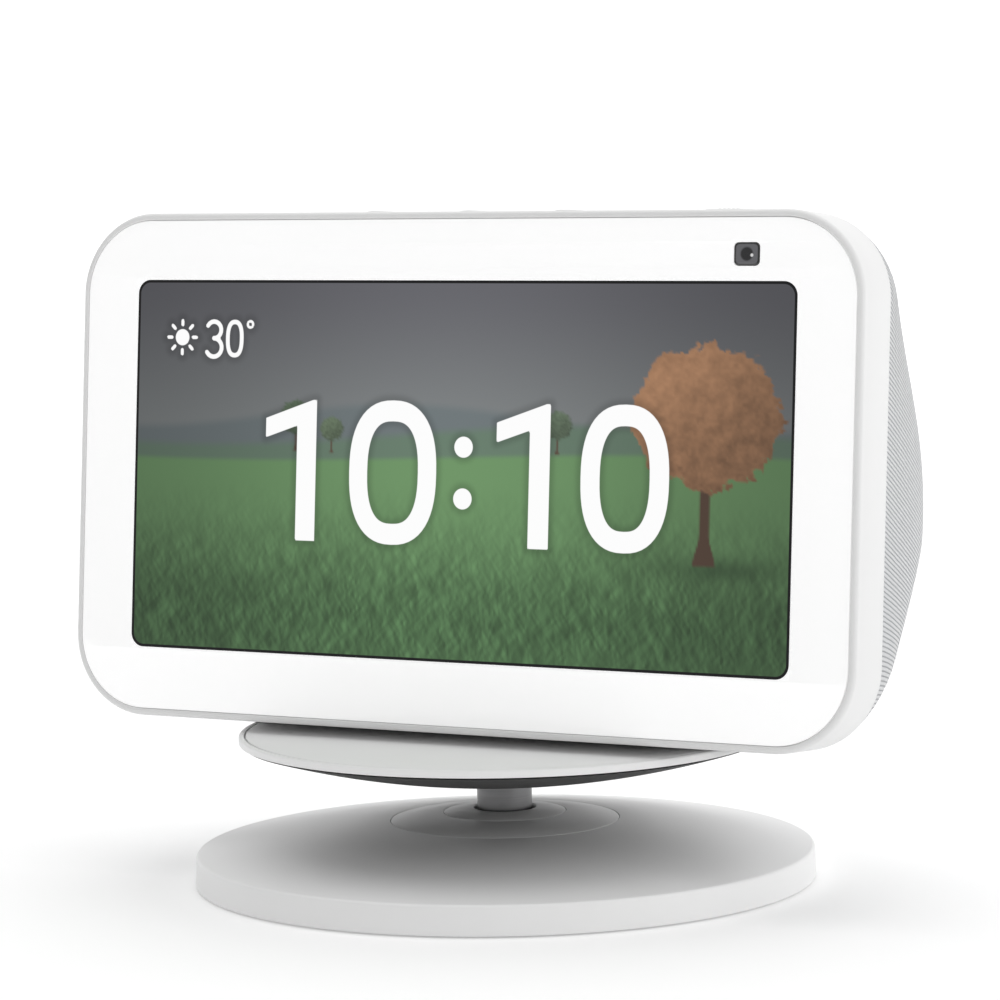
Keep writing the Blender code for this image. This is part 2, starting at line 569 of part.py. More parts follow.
def camera(black, glass, white):
    """Camera module behind its window, and the sliding shutter that covers it."""
    x, z = CAMERA_PLACE
    solid("camera_window", prism(rounded(*CAMERA_WINDOW, 0.6 * MM, CAMERA_PLACE, 3), GLASS_DEPTH,
                                 GLASS_DEPTH + GLASS_THICKNESS, "Y"), glass, FACE)
    lens_front = PANEL_DEPTH + SHUTTER_BLADE[1] + GAP
    solid("camera_lens", prism(circle(1.3 * MM, CAMERA_PLACE, 20), lens_front,
                               lens_front + 0.5 * MM, "Y"), glass, FACE)
    body = lens_front + 0.5 * MM + GAP
    solid("camera_module", box((x - 3 * MM, body, z - 2.7 * MM),
                               (x + 3 * MM, body + 2.2 * MM, z + 2.7 * MM)), black, FACE)

    high = FACE_HEIGHT / 2
    middle = shutter_x()
    link_top = high - BAND_WALL - GAP
    knob = prism(rounded(*SHUTTER_KNOB, SHUTTER_KNOB[1] / 2 - 0.05 * MM, (middle, SHUTTER_DEPTH)),
                 high - SHUTTER_SINK, high + BUTTON_PROUD)
    shutter = solid("camera_shutter", knob, white, FACE, (middle, SHUTTER_DEPTH, high))
    boolean(shutter, "camera_shutter_stem",
            box((middle - 1.5 * MM, SHUTTER_DEPTH - 0.7 * MM, link_top - 0.4 * MM),
                (middle + 1.5 * MM, SHUTTER_DEPTH + 0.7 * MM, high - SHUTTER_SINK + 0.3 * MM)), "UNION")
    boolean(shutter, "camera_shutter_link",
            box((middle - 2 * MM, PANEL_DEPTH + 0.1 * MM, link_top - 0.8 * MM),
                (middle + 2 * MM, SHUTTER_DEPTH + 0.5 * MM, link_top)), "UNION")
    boolean(shutter, "camera_shutter_blade",
            box((middle - SHUTTER_BLADE[0] / 2, PANEL_DEPTH, z - 2.4 * MM),
                (middle + SHUTTER_BLADE[0] / 2, PANEL_DEPTH + SHUTTER_BLADE[1], link_top - 0.1 * MM)),
            "UNION")


# ---------------------------------------------------------------- display: rear
def rear_depth(height):
    """Depth of the middle section of the fabric behind the band, from the height on the face."""
    half = FACE_HEIGHT / 2
    if height > REAR_WIDEST:
        share = (height - REAR_WIDEST) / (half - REAR_WIDEST)
        return REAR_DEPTH - (REAR_DEPTH - REAR_TOP_DEPTH) * share ** 1.5
    share = (REAR_WIDEST - height) / (half + REAR_WIDEST)
    return REAR_DEPTH - (REAR_DEPTH - REAR_FOOT_DEPTH) * share ** 2


def rear_power(height):
    """Superellipse power of the section: boxiest round the middle, nearly triangular at the foot."""
    half = FACE_HEIGHT / 2
    share = min(1.0, max(0.0, (REAR_WIDEST - height) / (half + REAR_WIDEST)))
    swell = math.exp(-((height - REAR_SWELL_HEIGHT) / REAR_SWELL_REACH) ** 2)
    return REAR_SQUARENESS + REAR_SWELL * swell - REAR_TAPER * share ** 1.35


def half_width(height, inset):
    """Half the face's width at a height, with its outline moved inwards."""
    high = FACE_HEIGHT / 2 - FACE_CORNER
    if height < -high:
        over = min(-height - high, FACE_CORNER)
        return FACE_WIDTH / 2 - FACE_CORNER - inset + math.sqrt(FACE_CORNER ** 2 - over ** 2)
    radius = FACE_CORNER - inset
    over = min(max(0.0, height - high), radius)
    return FACE_WIDTH / 2 - FACE_CORNER + math.sqrt(radius ** 2 - over ** 2)


def section_point(height, inset, turn):
    """A point of a level section through the rear body, turn running from 0 to pi."""
    power = 2 / rear_power(height)
    reach = FACE_HEIGHT / 2
    nearby = [rear_depth(max(-reach, min(reach, height + shift))) for shift in (-inset, 0.0, inset)]
    depth = max(min(nearby) - inset, 0.5 * MM)
    c, s = math.cos(turn), math.sin(turn)
    x = half_width(height, inset) * math.copysign(abs(c) ** power, c)
    return (x, depth * abs(s) ** power)


def section_heights(inset, floor, corner_steps=3, side_steps=7):
    """Heights of the sections, close together round the corners, from the top down."""
    high = FACE_HEIGHT / 2 - FACE_CORNER
    arcs = [math.pi / 2 * i / corner_steps for i in range(corner_steps + 1)]
    above = [high + (FACE_CORNER - inset) * math.cos(t) for t in arcs]
    sides = [high - 2 * high * (i + 1) / (side_steps + 1) for i in range(side_steps)]
    below = [-high - (FACE_CORNER - floor) * math.sin(t) for t in arcs]
    return above + sides + below


def rear_grid(mesh, inset, floor, turns=16):
    """Rows of vertices over the rear body, one row for each level section."""
    rows = []
    heights = section_heights(inset, floor)
    for height in heights:
        front = BAND_REAR_Y + height * math.sin(LEAN)
        level = BAND_REAR_Z + height * math.cos(LEAN)
        row = []
        for k in range(turns + 1):
            x, depth = section_point(height, inset, math.pi * k / turns)
            row.append(mesh.verts.new((x, front + depth, level)))
        rows.append(row)
    return rows


def skin(mesh, rows):
    """Faces between neighbouring rows."""
    for upper, lower in zip(rows, rows[1:]):
        for k in range(len(upper) - 1):
            mesh.faces.new((upper[k], upper[k + 1], lower[k + 1], lower[k]))


def rim(mesh, outer, inner):
    """Faces between two closed loops of the same length."""
    for k in range(len(outer)):
        mesh.faces.new((outer[k - 1], outer[k], inner[k], inner[k - 1]))


def front_edge(rows):
    """A grid's front edge: up its left side, then down its right side."""
    return [row[-1] for row in reversed(rows)] + [row[0] for row in rows]


def fabric_cover(mat):
    """Knitted skin over the sides, top and back, open at the front and below."""
    mesh = bmesh.new()
    grids = [rear_grid(mesh, inset, 0.0) for inset in (SEAM_INSET, SEAM_INSET + FABRIC_THICKNESS)]
    for rows in grids:
        skin(mesh, rows)
        mesh.faces.new(rows[0])
    rim(mesh, *[front_edge(rows) + rows[-1][1:-1] for rows in grids])
    cover = solid("fabric_cover", mesh, mat, SEAT)
    boolean(cover, "fabric_cover_jack_hole", jack_tool(JACK_RADIUS + GAP))


def rear_housing(mat):
    """Moulded shell inside the fabric, with a pocket below for the foot and the key."""
    outside = SEAM_INSET + FABRIC_THICKNESS + GAP
    inside = outside + HOUSING_WALL
    low = -FACE_HEIGHT / 2
    bottom = BAND_REAR_Z + low * math.cos(LEAN)
    mesh = bmesh.new()
    outer = rear_grid(mesh, outside, 0.0)
    inner = rear_grid(mesh, inside, HOUSING_FLOOR)
    for rows in (outer, inner):
        skin(mesh, rows)
        mesh.faces.new(rows[0])
        mesh.faces.new(rows[-1])
    rim(mesh, front_edge(outer), front_edge(inner))
    housing = solid("rear_housing", mesh, mat, SEAT)

    x, y = KEY_CENTRE[0], KEY_CENTRE[1] - FACE_Y
    ceiling = FOOT_LOW + KEY_HEIGHT - GAP + KEY_HEADROOM
    floor = BAND_REAR_Z + (low + HOUSING_FLOOR) * math.cos(LEAN)
    half = (KEY_SIZE[0] / 2 + 2 * MM, KEY_SIZE[1] / 2 + 2 * MM)
    front = max(y - half[1], BAND_REAR_Y + low * math.sin(LEAN) + 0.4 * MM)
    boolean(housing, "rear_housing_boss", box((x - half[0], front, floor - 0.5 * MM),
                                              (x + half[0], y + half[1], ceiling + 1.2 * MM)), "UNION")
    boolean(housing, "rear_housing_foot_pocket",
            prism(foot_outline(GAP), bottom - MM, foot_top() + GAP))
    boolean(housing, "rear_housing_key_pocket",
            prism(shifted(key_outline(GAP)), bottom - MM, ceiling))
    boolean(housing, "rear_housing_jack_hole", jack_tool(JACK_RADIUS + GAP))


def shifted(outline):
    """An outline on the plate, moved into the display's frame."""
    return [(x, y - FACE_Y) for x, y in outline]


def foot_top():
    """Height of the foot's upper face, in its pocket."""
    return FOOT_LOW + FOOT_THICKNESS


def foot_outline(grow=0.0, turns=14):
    """Outline of the rubber foot: the lowest section of the body, moved inwards."""
    height = -FACE_HEIGHT / 2
    power = 2 / rear_power(height)
    half = half_width(height, SEAM_INSET) - FOOT_MARGIN
    depth = REAR_FOOT_DEPTH - FOOT_MARGIN
    front = BAND_REAR_Y + height * math.sin(LEAN) + 0.75 * MM
    points = []
    for k in range(turns + 1):
        c, s = math.cos(math.pi * k / turns), math.sin(math.pi * k / turns)
        points.append(((half + grow) * math.copysign(abs(c) ** power, c),
                       front + 2 * MM + (depth - 2 * MM + grow) * abs(s) ** power))
    return points + [(-half - grow, front - grow), (half + grow, front - grow)]


def foot_parts(rubber, steel):
    """Rubber foot with the slot for the key, and the steel strip that the magnets hold."""
    foot = solid("rubber_foot", prism(foot_outline(), FOOT_LOW, foot_top()), rubber, SEAT)
    boolean(foot, "rubber_foot_slot", prism(shifted(key_outline(GAP)), FOOT_LOW - MM, foot_top() + MM))
    floor = BAND_REAR_Z + (-FACE_HEIGHT / 2 + HOUSING_FLOOR) * math.cos(LEAN)
    y = MAGNET_PLACE[1] - FACE_Y
    solid("foot_steel_plate", prism(rounded(2 * (MAGNET_PLACE[0] + MAGNET_RADIUS), 11 * MM, 2 * MM,
                                            (0, y), 3), floor + GAP, floor + GAP + MM), steel, SEAT)


# ---------------------------------------------------------------- display: inside
def jack_rear():
    """Depth of the fabric's surface at the power socket, behind the face's centre."""
    x, height = JACK_PLACE
    power = rear_power(height)
    share = abs(x) / half_width(height, 0.0)
    return (BAND_REAR_Y + height * math.sin(LEAN)
            + rear_depth(height) * (1 - share ** power) ** (1 / power))


def jack_tool(radius):
    """Cutter for the power socket, from inside the housing to well behind it."""
    x, z = JACK_PLACE
    rear = jack_rear()
    return prism(circle(radius, (x, z), 20), rear - JACK_LENGTH - 4 * MM, rear + 12 * MM, "Y")


def power_jack(mat):
    """Round low-voltage socket; its floor closes the front end."""
    x, z = JACK_PLACE
    front = jack_rear() - 1.5 * MM - JACK_LENGTH
    mesh = turned([
        (0, 0), (JACK_RADIUS, 0), (JACK_RADIUS, JACK_LENGTH), (JACK_BORE, JACK_LENGTH),
        (JACK_BORE, 1.0 * MM), (0, 1.0 * MM)], 20, "Y")
    mesh.transform(Matrix.Translation((x, front, z)))
    solid("power_jack", mesh, mat, SEAT)


def board_corners():
    """Centres of the board's fixing holes: two below, one in the middle above."""
    across = BOARD_SIZE[0] / 2 - 3.5 * MM
    up = BOARD_SIZE[1] / 2 - 3.5 * MM
    return [(-across, -up), (across, -up), (0.0, up)]


def electronics(green, steel, aluminium, orange):
    """Main board on the chassis posts, its shield can, heat spreader and flat cable."""
    board = solid("main_board", prism(rounded(*BOARD_SIZE, 1.5 * MM, steps=2), BOARD_DEPTH,
                                      BOARD_DEPTH + BOARD_THICKNESS, "Y"), green, FACE)
    rear = BOARD_DEPTH + BOARD_THICKNESS
    for index, (x, z) in enumerate(board_corners()):
        boolean(board, f"main_board_hole_{index + 1}",
                prism(circle(1.2 * MM, (x, z), 8), BOARD_DEPTH - MM, rear + MM, "Y"))
        screw = turned([
            (0, CHASSIS_DEPTH + MM), (0.9 * MM, CHASSIS_DEPTH + MM), (0.9 * MM, rear + GAP),
            (1.9 * MM, rear + GAP), (1.9 * MM, rear + GAP + 1.1 * MM), (0, rear + GAP + 1.1 * MM)],
            12, "Y")
        screw.transform(Matrix.Translation((x, 0, z)))
        solid(f"board_screw_{index + 1}", screw, steel, FACE)
    shield = rear + GAP
    solid("shield_can", box((-12 * MM, shield, -10 * MM), (12 * MM, shield + 2 * MM, 14 * MM)),
          steel, FACE)
    spreader = shield + 2 * MM + GAP
    solid("heat_spreader", box((-30 * MM, spreader, -16 * MM), (30 * MM, spreader + MM, 18 * MM)),
          aluminium, FACE)

    low = SCREEN_RISE - SCREEN_SIZE[1] / 2 - 4.0 * MM
    thick = 0.3 * MM
    bend = BOARD_DEPTH - GAP - thick
    path = [(PANEL_DEPTH + 0.5 * MM, low), (bend + thick, low), (bend + thick, low + 15 * MM),
            (bend, low + 15 * MM), (bend, low + thick), (PANEL_DEPTH + 0.5 * MM, low + thick)]
    solid("display_flex", prism(path, -9 * MM, 9 * MM, "X"), orange, FACE)


def speaker(black, paper, iron):
    """Full-range driver that plays to the rear: basket, cone and magnet."""
    radius = SPEAKER_RADIUS
    start = BOARD_DEPTH + BOARD_THICKNESS + 3 * GAP + 3.0 * MM + 1.5 * MM
    magnet = 6.0 * MM
    throat = start + magnet + GAP
    flange = throat + 13.0 * MM
    centre = Matrix.Translation((0, 0, SPEAKER_HEIGHT))
    shapes = {
        "speaker_magnet": (iron, [(0, start), (12 * MM, start), (12 * MM, start + magnet),
                                  (0, start + magnet)]),
        "speaker_basket": (black, [
            (7 * MM, throat), (11 * MM, throat), (radius - 2.5 * MM, flange - 3 * MM),
            (radius, flange - 1.2 * MM), (radius, flange), (radius - 2.5 * MM, flange),
            (radius - 3.5 * MM, flange - 1.6 * MM), (9.6 * MM, throat + 1.2 * MM),
            (7 * MM, throat + 1.2 * MM)]),
        "speaker_cone": (paper, [
            (0, throat + 3.4 * MM), (6.5 * MM, throat + 2.6 * MM), (radius - 3.4 * MM, flange - 0.9 * MM),
            (radius - 3.4 * MM, flange - 0.3 * MM), (6.5 * MM, throat + 4.0 * MM),
            (0, throat + 5.6 * MM)]),
    }
    for name, (mat, profile) in shapes.items():
        mesh = turned(profile, 20, "Y")
        mesh.transform(centre)
        solid(name, mesh, mat, FACE)


# ---------------------------------------------------------------- build
for old in list(bpy.data.objects):
    bpy.data.objects.remove(old)

TILT_FRAME = empty("tilt_frame", (0, 0, PIN_HEIGHT))
SEAT = empty("display_seat", (0, FACE_Y, FACE_Z))
FACE = empty("display_face", (0, FACE_Y, FACE_Z), -LEAN)

WHITE = material("white_paint", (0.86, 0.86, 0.86), 0.45)
PAD_WHITE = material("white_silicone", (0.85, 0.85, 0.85), 0.6)
BEZEL_WHITE = material("white_moulding", (0.86, 0.86, 0.86), 0.4)
GLASS = material("cover_glass", (0.95, 0.95, 0.95), 0.05)
DARK = material("dark_moulding", (0.06, 0.06, 0.065), 0.5)
BLACK = material("black_moulding", (0.03, 0.03, 0.03), 0.5)
PANEL = material("panel_face", (0.12, 0.2, 0.1), 0.3)
FABRIC = material("knitted_fabric", (0.72, 0.73, 0.74), 0.9)
RUBBER = material("grey_rubber", (0.2, 0.2, 0.2), 0.8)
STEEL = material("bright_steel", (0.6, 0.6, 0.6), 0.35, 1.0)
NECK_METAL = material("satin_neck", (0.7, 0.7, 0.7), 0.35, 1.0)
IRON = material("cast_weight", (0.25, 0.25, 0.26), 0.6, 1.0)
BRONZE = material("sintered_bronze", (0.6, 0.42, 0.2), 0.4, 1.0)
ZINC = material("die_cast_zinc", (0.5, 0.5, 0.52), 0.45, 1.0)
MAGNET = material("plated_magnet", (0.55, 0.55, 0.56), 0.25, 1.0)
ALUMINIUM = material("aluminium_sheet", (0.75, 0.75, 0.76), 0.35, 1.0)
GREEN = material("circuit_board", (0.03, 0.22, 0.1), 0.5)
ORANGE = material("flat_cable", (0.7, 0.35, 0.08), 0.5)
PAPER = material("cone_paper", (0.07, 0.07, 0.07), 0.9)

base_shell(WHITE)
base_inside(RUBBER, STEEL, IRON, BRONZE, ZINC)
base_rings(WHITE)
neck_parts(NECK_METAL, BLACK, BRONZE)
tilt_parts(TILT_FRAME, STEEL, BLACK)
plate_parts(WHITE, PAD_WHITE, DARK, MAGNET)
bezel_frame(BEZEL_WHITE)
front_stack(GLASS, PANEL, BLACK, ALUMINIUM)
controls(BEZEL_WHITE, RUBBER, GREEN, BLACK)
camera(BLACK, DARK, BEZEL_WHITE)
rear_housing(BLACK)
fabric_cover(FABRIC)
foot_parts(RUBBER, STEEL)
power_jack(BLACK)
electronics(GREEN, STEEL, ALUMINIUM, ORANGE)
speaker(BLACK, PAPER, IRON)
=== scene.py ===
from math import cos, pi, radians, sin

import bmesh
import bpy
import numpy as np
from mathutils import Matrix, Vector


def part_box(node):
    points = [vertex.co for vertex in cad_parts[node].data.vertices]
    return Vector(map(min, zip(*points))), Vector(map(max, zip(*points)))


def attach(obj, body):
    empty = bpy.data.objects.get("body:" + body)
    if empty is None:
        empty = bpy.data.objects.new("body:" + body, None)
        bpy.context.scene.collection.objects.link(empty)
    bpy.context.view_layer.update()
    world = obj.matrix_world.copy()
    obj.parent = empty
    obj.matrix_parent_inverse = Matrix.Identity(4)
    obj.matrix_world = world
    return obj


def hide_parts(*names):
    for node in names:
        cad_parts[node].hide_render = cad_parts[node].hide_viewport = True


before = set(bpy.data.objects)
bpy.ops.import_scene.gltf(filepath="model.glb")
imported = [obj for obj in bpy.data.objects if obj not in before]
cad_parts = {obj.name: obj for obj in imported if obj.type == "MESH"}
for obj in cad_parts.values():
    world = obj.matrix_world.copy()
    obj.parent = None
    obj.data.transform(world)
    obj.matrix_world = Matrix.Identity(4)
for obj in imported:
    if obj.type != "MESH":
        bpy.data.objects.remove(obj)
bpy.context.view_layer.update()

MM = 0.001


# ==== camera: a long lens, a little above the display and 28 degrees to its right ====
lens = bpy.data.cameras.new("camera")
lens.lens, lens.sensor_width, lens.clip_end = 146.2, 36.0, 20.0
azimuth, pitch, roll = radians(28.436), radians(5.401), radians(-1.146)
ahead = Vector((-sin(azimuth) * cos(pitch), cos(azimuth) * cos(pitch), -sin(pitch)))
level = Vector((cos(azimuth), sin(azimuth), 0.0))
above = level.cross(ahead)
across = level * cos(roll) + above * sin(roll)
camera = bpy.data.objects.new("camera", lens)
camera.matrix_world = Matrix.Translation((0.327734, -0.604732, 0.129857)) @ Matrix(
    (across, above * cos(roll) - level * sin(roll), -ahead)).transposed().to_4x4()
bpy.context.scene.collection.objects.link(camera)
bpy.context.scene.camera = camera
bpy.context.scene.view_settings.view_transform = "Standard"


# ==== shader writing: used by every material below ====
class Wire:
    """An output socket of a node tree; sums and products of wires add Math nodes."""

    def __init__(self, tree, socket=None):
        self.tree, self.socket = tree, socket

    def node(self, kind, settings=None, out=0, values=None):
        """Adds a node, sets its settings, sets or links its inputs, and returns one output."""
        made = self.tree.nodes.new(kind)
        for key, value in (settings or {}).items():
            setattr(made, key, value)
        for key, value in (values or {}).items():
            if isinstance(value, Wire):
                self.tree.links.new(value.socket, made.inputs[key])
            else:
                made.inputs[key].default_value = value
        return Wire(self.tree, made.outputs[out])

    def maths(self, operation, *terms):
        """One Math node over the given terms, numbers or wires."""
        return self.node("ShaderNodeMath", {"operation": operation}, values=dict(enumerate(terms)))

    def __add__(self, other):
        return self.maths("ADD", self, other)

    def __mul__(self, other):
        return self.maths("MULTIPLY", self, other)

    def __sub__(self, other):
        return self.maths("SUBTRACT", self, other)

    def __rsub__(self, other):
        return self.maths("SUBTRACT", other, self)

    def __truediv__(self, other):
        return self.maths("DIVIDE", self, other)

    def __rtruediv__(self, other):
        return self.maths("DIVIDE", other, self)

    def __pow__(self, other):
        return self.maths("POWER", self, other)

    __radd__, __rmul__ = __add__, __mul__

    def wave(self, size):
        """One between multiples of size and nought on them: |sin(pi x / size)|."""
        return self.maths("ABSOLUTE", self.maths("SINE", self * (pi / size)))

    def step(self, start, stop):
        """Rises smoothly from nought at start to one at stop."""
        return self.node("ShaderNodeMapRange", {"interpolation_type": "SMOOTHSTEP"},
                         values={0: self, 1: start, 2: stop, 3: 0.0, 4: 1.0})

    def blend(self, first, second):
        """Mixes two colours by this wire."""
        pair = [c if isinstance(c, Wire) else (*c, 1.0) for c in (first, second)]
        return self.node("ShaderNodeMix", {"data_type": "RGBA"}, 2, {0: self, 6: pair[0], 7: pair[1]})

    def noise(self, scale, detail=2.0, stretch=(1.0, 1.0, 1.0)):
        """Cloudy noise over object coordinates, scale in features per metre."""
        place = self.node("ShaderNodeTexCoord", out=3)
        place = self.node("ShaderNodeVectorMath", {"operation": "MULTIPLY"}, values={0: place, 1: stretch})
        return self.node("ShaderNodeTexNoise", values={"Vector": place, "Scale": scale, "Detail": detail})

    def bump(self, distance, strength=1.0):
        """A normal that treats this wire as a height of distance metres."""
        return self.node("ShaderNodeBump", values={"Height": self, "Distance": distance,
                                                   "Strength": strength})


def look(name, paint, **fixed):
    """A material whose paint function returns what varies, as shader input names and wires."""
    made = bpy.data.materials.new(name)
    made.use_nodes = True
    shader = made.node_tree.nodes["Principled BSDF"]
    wires = paint(Wire(made.node_tree))
    for key, value in {**{k.replace("_", " "): v for k, v in fixed.items()}, **wires}.items():
        if isinstance(value, Wire):
            made.node_tree.links.new(value.socket, shader.inputs[key])
        else:
            shader.inputs[key].default_value = value
    return made


# ==== studio: white table, pale room that is brighter behind, soft lights above and to the right ====
def paint_table(start):
    """White board: faint clouding, and a lift of its tone far from the object."""
    place = start.node("ShaderNodeTexCoord", out=3)
    far = start.node("ShaderNodeVectorMath", {"operation": "LENGTH"}, 1, {0: place}).step(0.25, 1.4)
    return {"Base Color": start.noise(3.0).blend((0.88, 0.88, 0.88), (0.9, 0.9, 0.9)),
            "Emission Color": far.blend((0.17, 0.17, 0.17), (0.5, 0.5, 0.5))}


table_mesh = bpy.data.meshes.new("table")
table_mesh.from_pydata([(-4, -4, 0), (4, -4, 0), (4, 4, 0), (-4, 4, 0)], [], [(0, 1, 2, 3)])
table = bpy.data.objects.new("table", table_mesh)
table.location.z = -0.02 * MM
table_mesh.materials.append(look("white_table", paint_table, Roughness=0.9, Specular_IOR_Level=0.1,
                                 Emission_Strength=1.0))
bpy.context.scene.collection.objects.link(table)

room = bpy.data.worlds.new("room")
room.use_nodes = True
bpy.context.scene.world = room
air = Wire(room.node_tree)
toward = air.node("ShaderNodeVectorMath", {"operation": "DOT_PRODUCT"}, 1,
                  {0: air.node("ShaderNodeTexCoord"), 1: (0.35, 0.94, 0.0)})
glow = 0.47 + 0.65 * toward.step(-0.6, 0.36)
room.node_tree.links.new(glow.socket, room.node_tree.nodes["Background"].inputs["Strength"])
room.node_tree.nodes["Background"].inputs["Color"].default_value = (1.0, 1.0, 1.0, 1.0)

for name, place, size, power in (("soft_light_above", (-0.2, 0.1, 1.0), 1.0, 2.6),
                                 ("soft_light_right", (1.15, 0.15, 0.45), 0.6, 0.8)):
    lamp = bpy.data.lights.new(name, "AREA")
    lamp.size, lamp.energy = size, power
    light = bpy.data.objects.new(name, lamp)
    light.location = place
    light.rotation_euler = (Vector((0, 0, 0.05)) - Vector(place)).to_track_quat("-Z", "Y").to_euler()
    bpy.context.scene.collection.objects.link(light)


# ==== base ====
# A pressed cover with a soft-touch white paint over a cast weight, held to a bottom plate by
# three screws; it stands on a glued rubber ring. Two loose rings close the cone round the neck.
def bend(centre, radius, start, stop, steps=6):
    """Points on an arc between two angles in degrees, in millimetres."""
    turn = np.radians(np.linspace(start, stop, steps + 1))
    return [*zip(centre[0] + radius * np.cos(turn), centre[1] + radius * np.sin(turn))]


def grid_faces(rows, columns, wrap_rows=False, wrap_columns=True):
    """Quads between neighbouring rows and columns of a grid of vertices."""
    row = np.arange(rows if wrap_rows else rows - 1)[:, None]
    column = np.arange(columns if wrap_columns else columns - 1)[None, :]
    below, beside = (row + 1) % rows, (column + 1) % columns
    quads = [row * columns + column, row * columns + beside, below * columns + beside,
             below * columns + column]
    return np.stack(np.broadcast_arrays(*quads), -1).reshape(-1, 4)


def shape(points, faces, frame_matrix=Matrix.Identity(4)):
    """A mesh of these points, given in millimetres, put in place by a matrix."""
    mesh = bpy.data.meshes.new("shape")
    mesh.from_pydata(np.asarray(points, float).reshape(-1, 3) * MM, [], faces)
    mesh.transform(frame_matrix)
    return mesh


def turned(profile, steps=160, axis="Z", frame_matrix=Matrix.Identity(4)):
    """A closed profile of (radius, height) turned once: (r cos t, r sin t, h), or h along Y."""
    outline = np.array(profile, float)
    turn = np.linspace(0, 2 * pi, steps, endpoint=False)
    x, y = outline[:, :1] * np.cos(turn), outline[:, :1] * np.sin(turn)
    h = np.broadcast_to(outline[:, 1:], x.shape)
    points = np.stack((x, y, h) if axis == "Z" else (x, h, -y), -1)
    return shape(points, grid_faces(len(outline), steps, True), frame_matrix)


def solid(name, meshes, body, finish, stands_for=(), crease=32):
    """Makes a piece of one or more meshes: welded, faces outward, smooth under the crease angle."""
    shell = bmesh.new()
    for mesh in meshes:
        shell.from_mesh(mesh)
    bmesh.ops.remove_doubles(shell, verts=shell.verts, dist=0.0005 * MM)
    bmesh.ops.recalc_face_normals(shell, faces=shell.faces)
    made = bpy.data.meshes.new(name)
    shell.to_mesh(made)
    shell.free()
    for mesh in meshes:
        bpy.data.meshes.remove(mesh)
    made.shade_smooth()
    made.set_sharp_from_angle(angle=radians(crease))
    made.materials.append(finish)
    thing = bpy.data.objects.new(name, made)
    bpy.context.scene.collection.objects.link(thing)
    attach(thing, body)
    if stands_for:
        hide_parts(*stands_for)
    return thing


def paint_white(tone, rough, grain=5200.0, depth=0.012):
    """A white finish: faint clouding of its tone and sheen, and a fine moulded grain."""
    def paint(start):
        cloud = start.noise(35.0, 3.0)
        speck = start.noise(grain, 2.0)
        low, high = tuple(tone * 0.975 for _ in range(3)), (tone, tone, tone * 0.997)
        return {"Base Color": cloud.blend(low, high), "Roughness": rough - 0.04 + 0.08 * cloud,
                "Normal": speck.bump(depth * MM, 0.5)}
    return paint


def paint_rubber(start):
    """Matt elastomer: fine grain, and paler dust where the noise is high."""
    dust = start.noise(260.0, 4.0).step(0.52, 0.8)
    return {"Base Color": dust.blend((0.035, 0.035, 0.037), (0.075, 0.074, 0.072)),
            "Roughness": 0.72 + 0.2 * dust, "Normal": start.noise(3200.0).bump(0.03 * MM)}


def paint_sheet_metal(tone, rough, stretch):
    """Rolled or turned metal: fine lines along one direction and faint stains."""
    def paint(start):
        line = start.noise(900.0, 3.0, stretch)
        stain = start.noise(60.0, 3.0).step(0.35, 0.75)
        dark = tuple(c * 0.82 for c in tone)
        return {"Base Color": (0.6 * line + 0.4 * stain).blend(dark, tone),
                "Roughness": rough + 0.18 * stain, "Normal": line.bump(0.004 * MM, 0.6)}
    return paint


white_paint = look("white_paint", paint_white(0.88, 0.42), Coat_Weight=0.06, Coat_Roughness=0.3)
grey_rubber = look("grey_rubber", paint_rubber, Specular_IOR_Level=0.3)
bright_steel = look("bright_steel", paint_sheet_metal((0.62, 0.61, 0.6), 0.26, (1, 0.03, 1)), Metallic=1.0)


def cone(radius):
    """Height of the conical top over the table: 5.35 at the rim, 7.6 higher at the axis."""
    return 5.35 + 7.6 * (1 - radius / 52.4)


base_low = 1000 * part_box("base_shell")[0].z
solid("base_cover_shell", [turned([
    (52.9, base_low), *bend((53.0, base_low + 0.1), 0.1, -90, 0, 3), *bend((52.32, 4.72), 0.63, 0, 81.8, 8),
    (46.0, cone(46.0)), (36.0, cone(36.0)), (27.0, cone(27.0)),
    *bend((19.75, cone(19.75) - 0.15), 0.15, 81.8, 180, 4), (19.6, cone(19.6) - 1.7),
    (35.0, cone(35.0) - 1.7), (51.25, cone(51.25) - 1.7), (51.25, base_low)], 256)],
    "base", white_paint, ["base_shell"])
solid("base_ring", [turned([
    (10.52, 7.9), (19.53, 7.9), *bend((19.38, cone(19.38) - 0.16), 0.15, 0, 81.8, 3),
    *bend((10.67, cone(10.67) - 0.16), 0.15, 81.8, 180, 3)], 160)],
    "base", white_paint, ["base_cover_ring"])
solid("base_collar", [turned([
    (5.3, 7.9), (10.45, 7.9), *bend((10.3, cone(10.3) - 0.16), 0.15, 0, 81.8, 3),
    *bend((5.55, cone(5.55) - 0.26), 0.25, 81.8, 180, 4)], 128)],
    "base", white_paint, ["neck_collar"])
solid("base_rubber_ring", [turned([
    (43.2, 0), (49.3, 0), *bend((49.3, 0.2), 0.2, -90, 0, 3), (49.5, 1.2), (43.0, 1.2),
    *bend((43.2, 0.2), 0.2, 180, 270, 3)], 160)],
    "base", grey_rubber, ["base_foot_ring"])


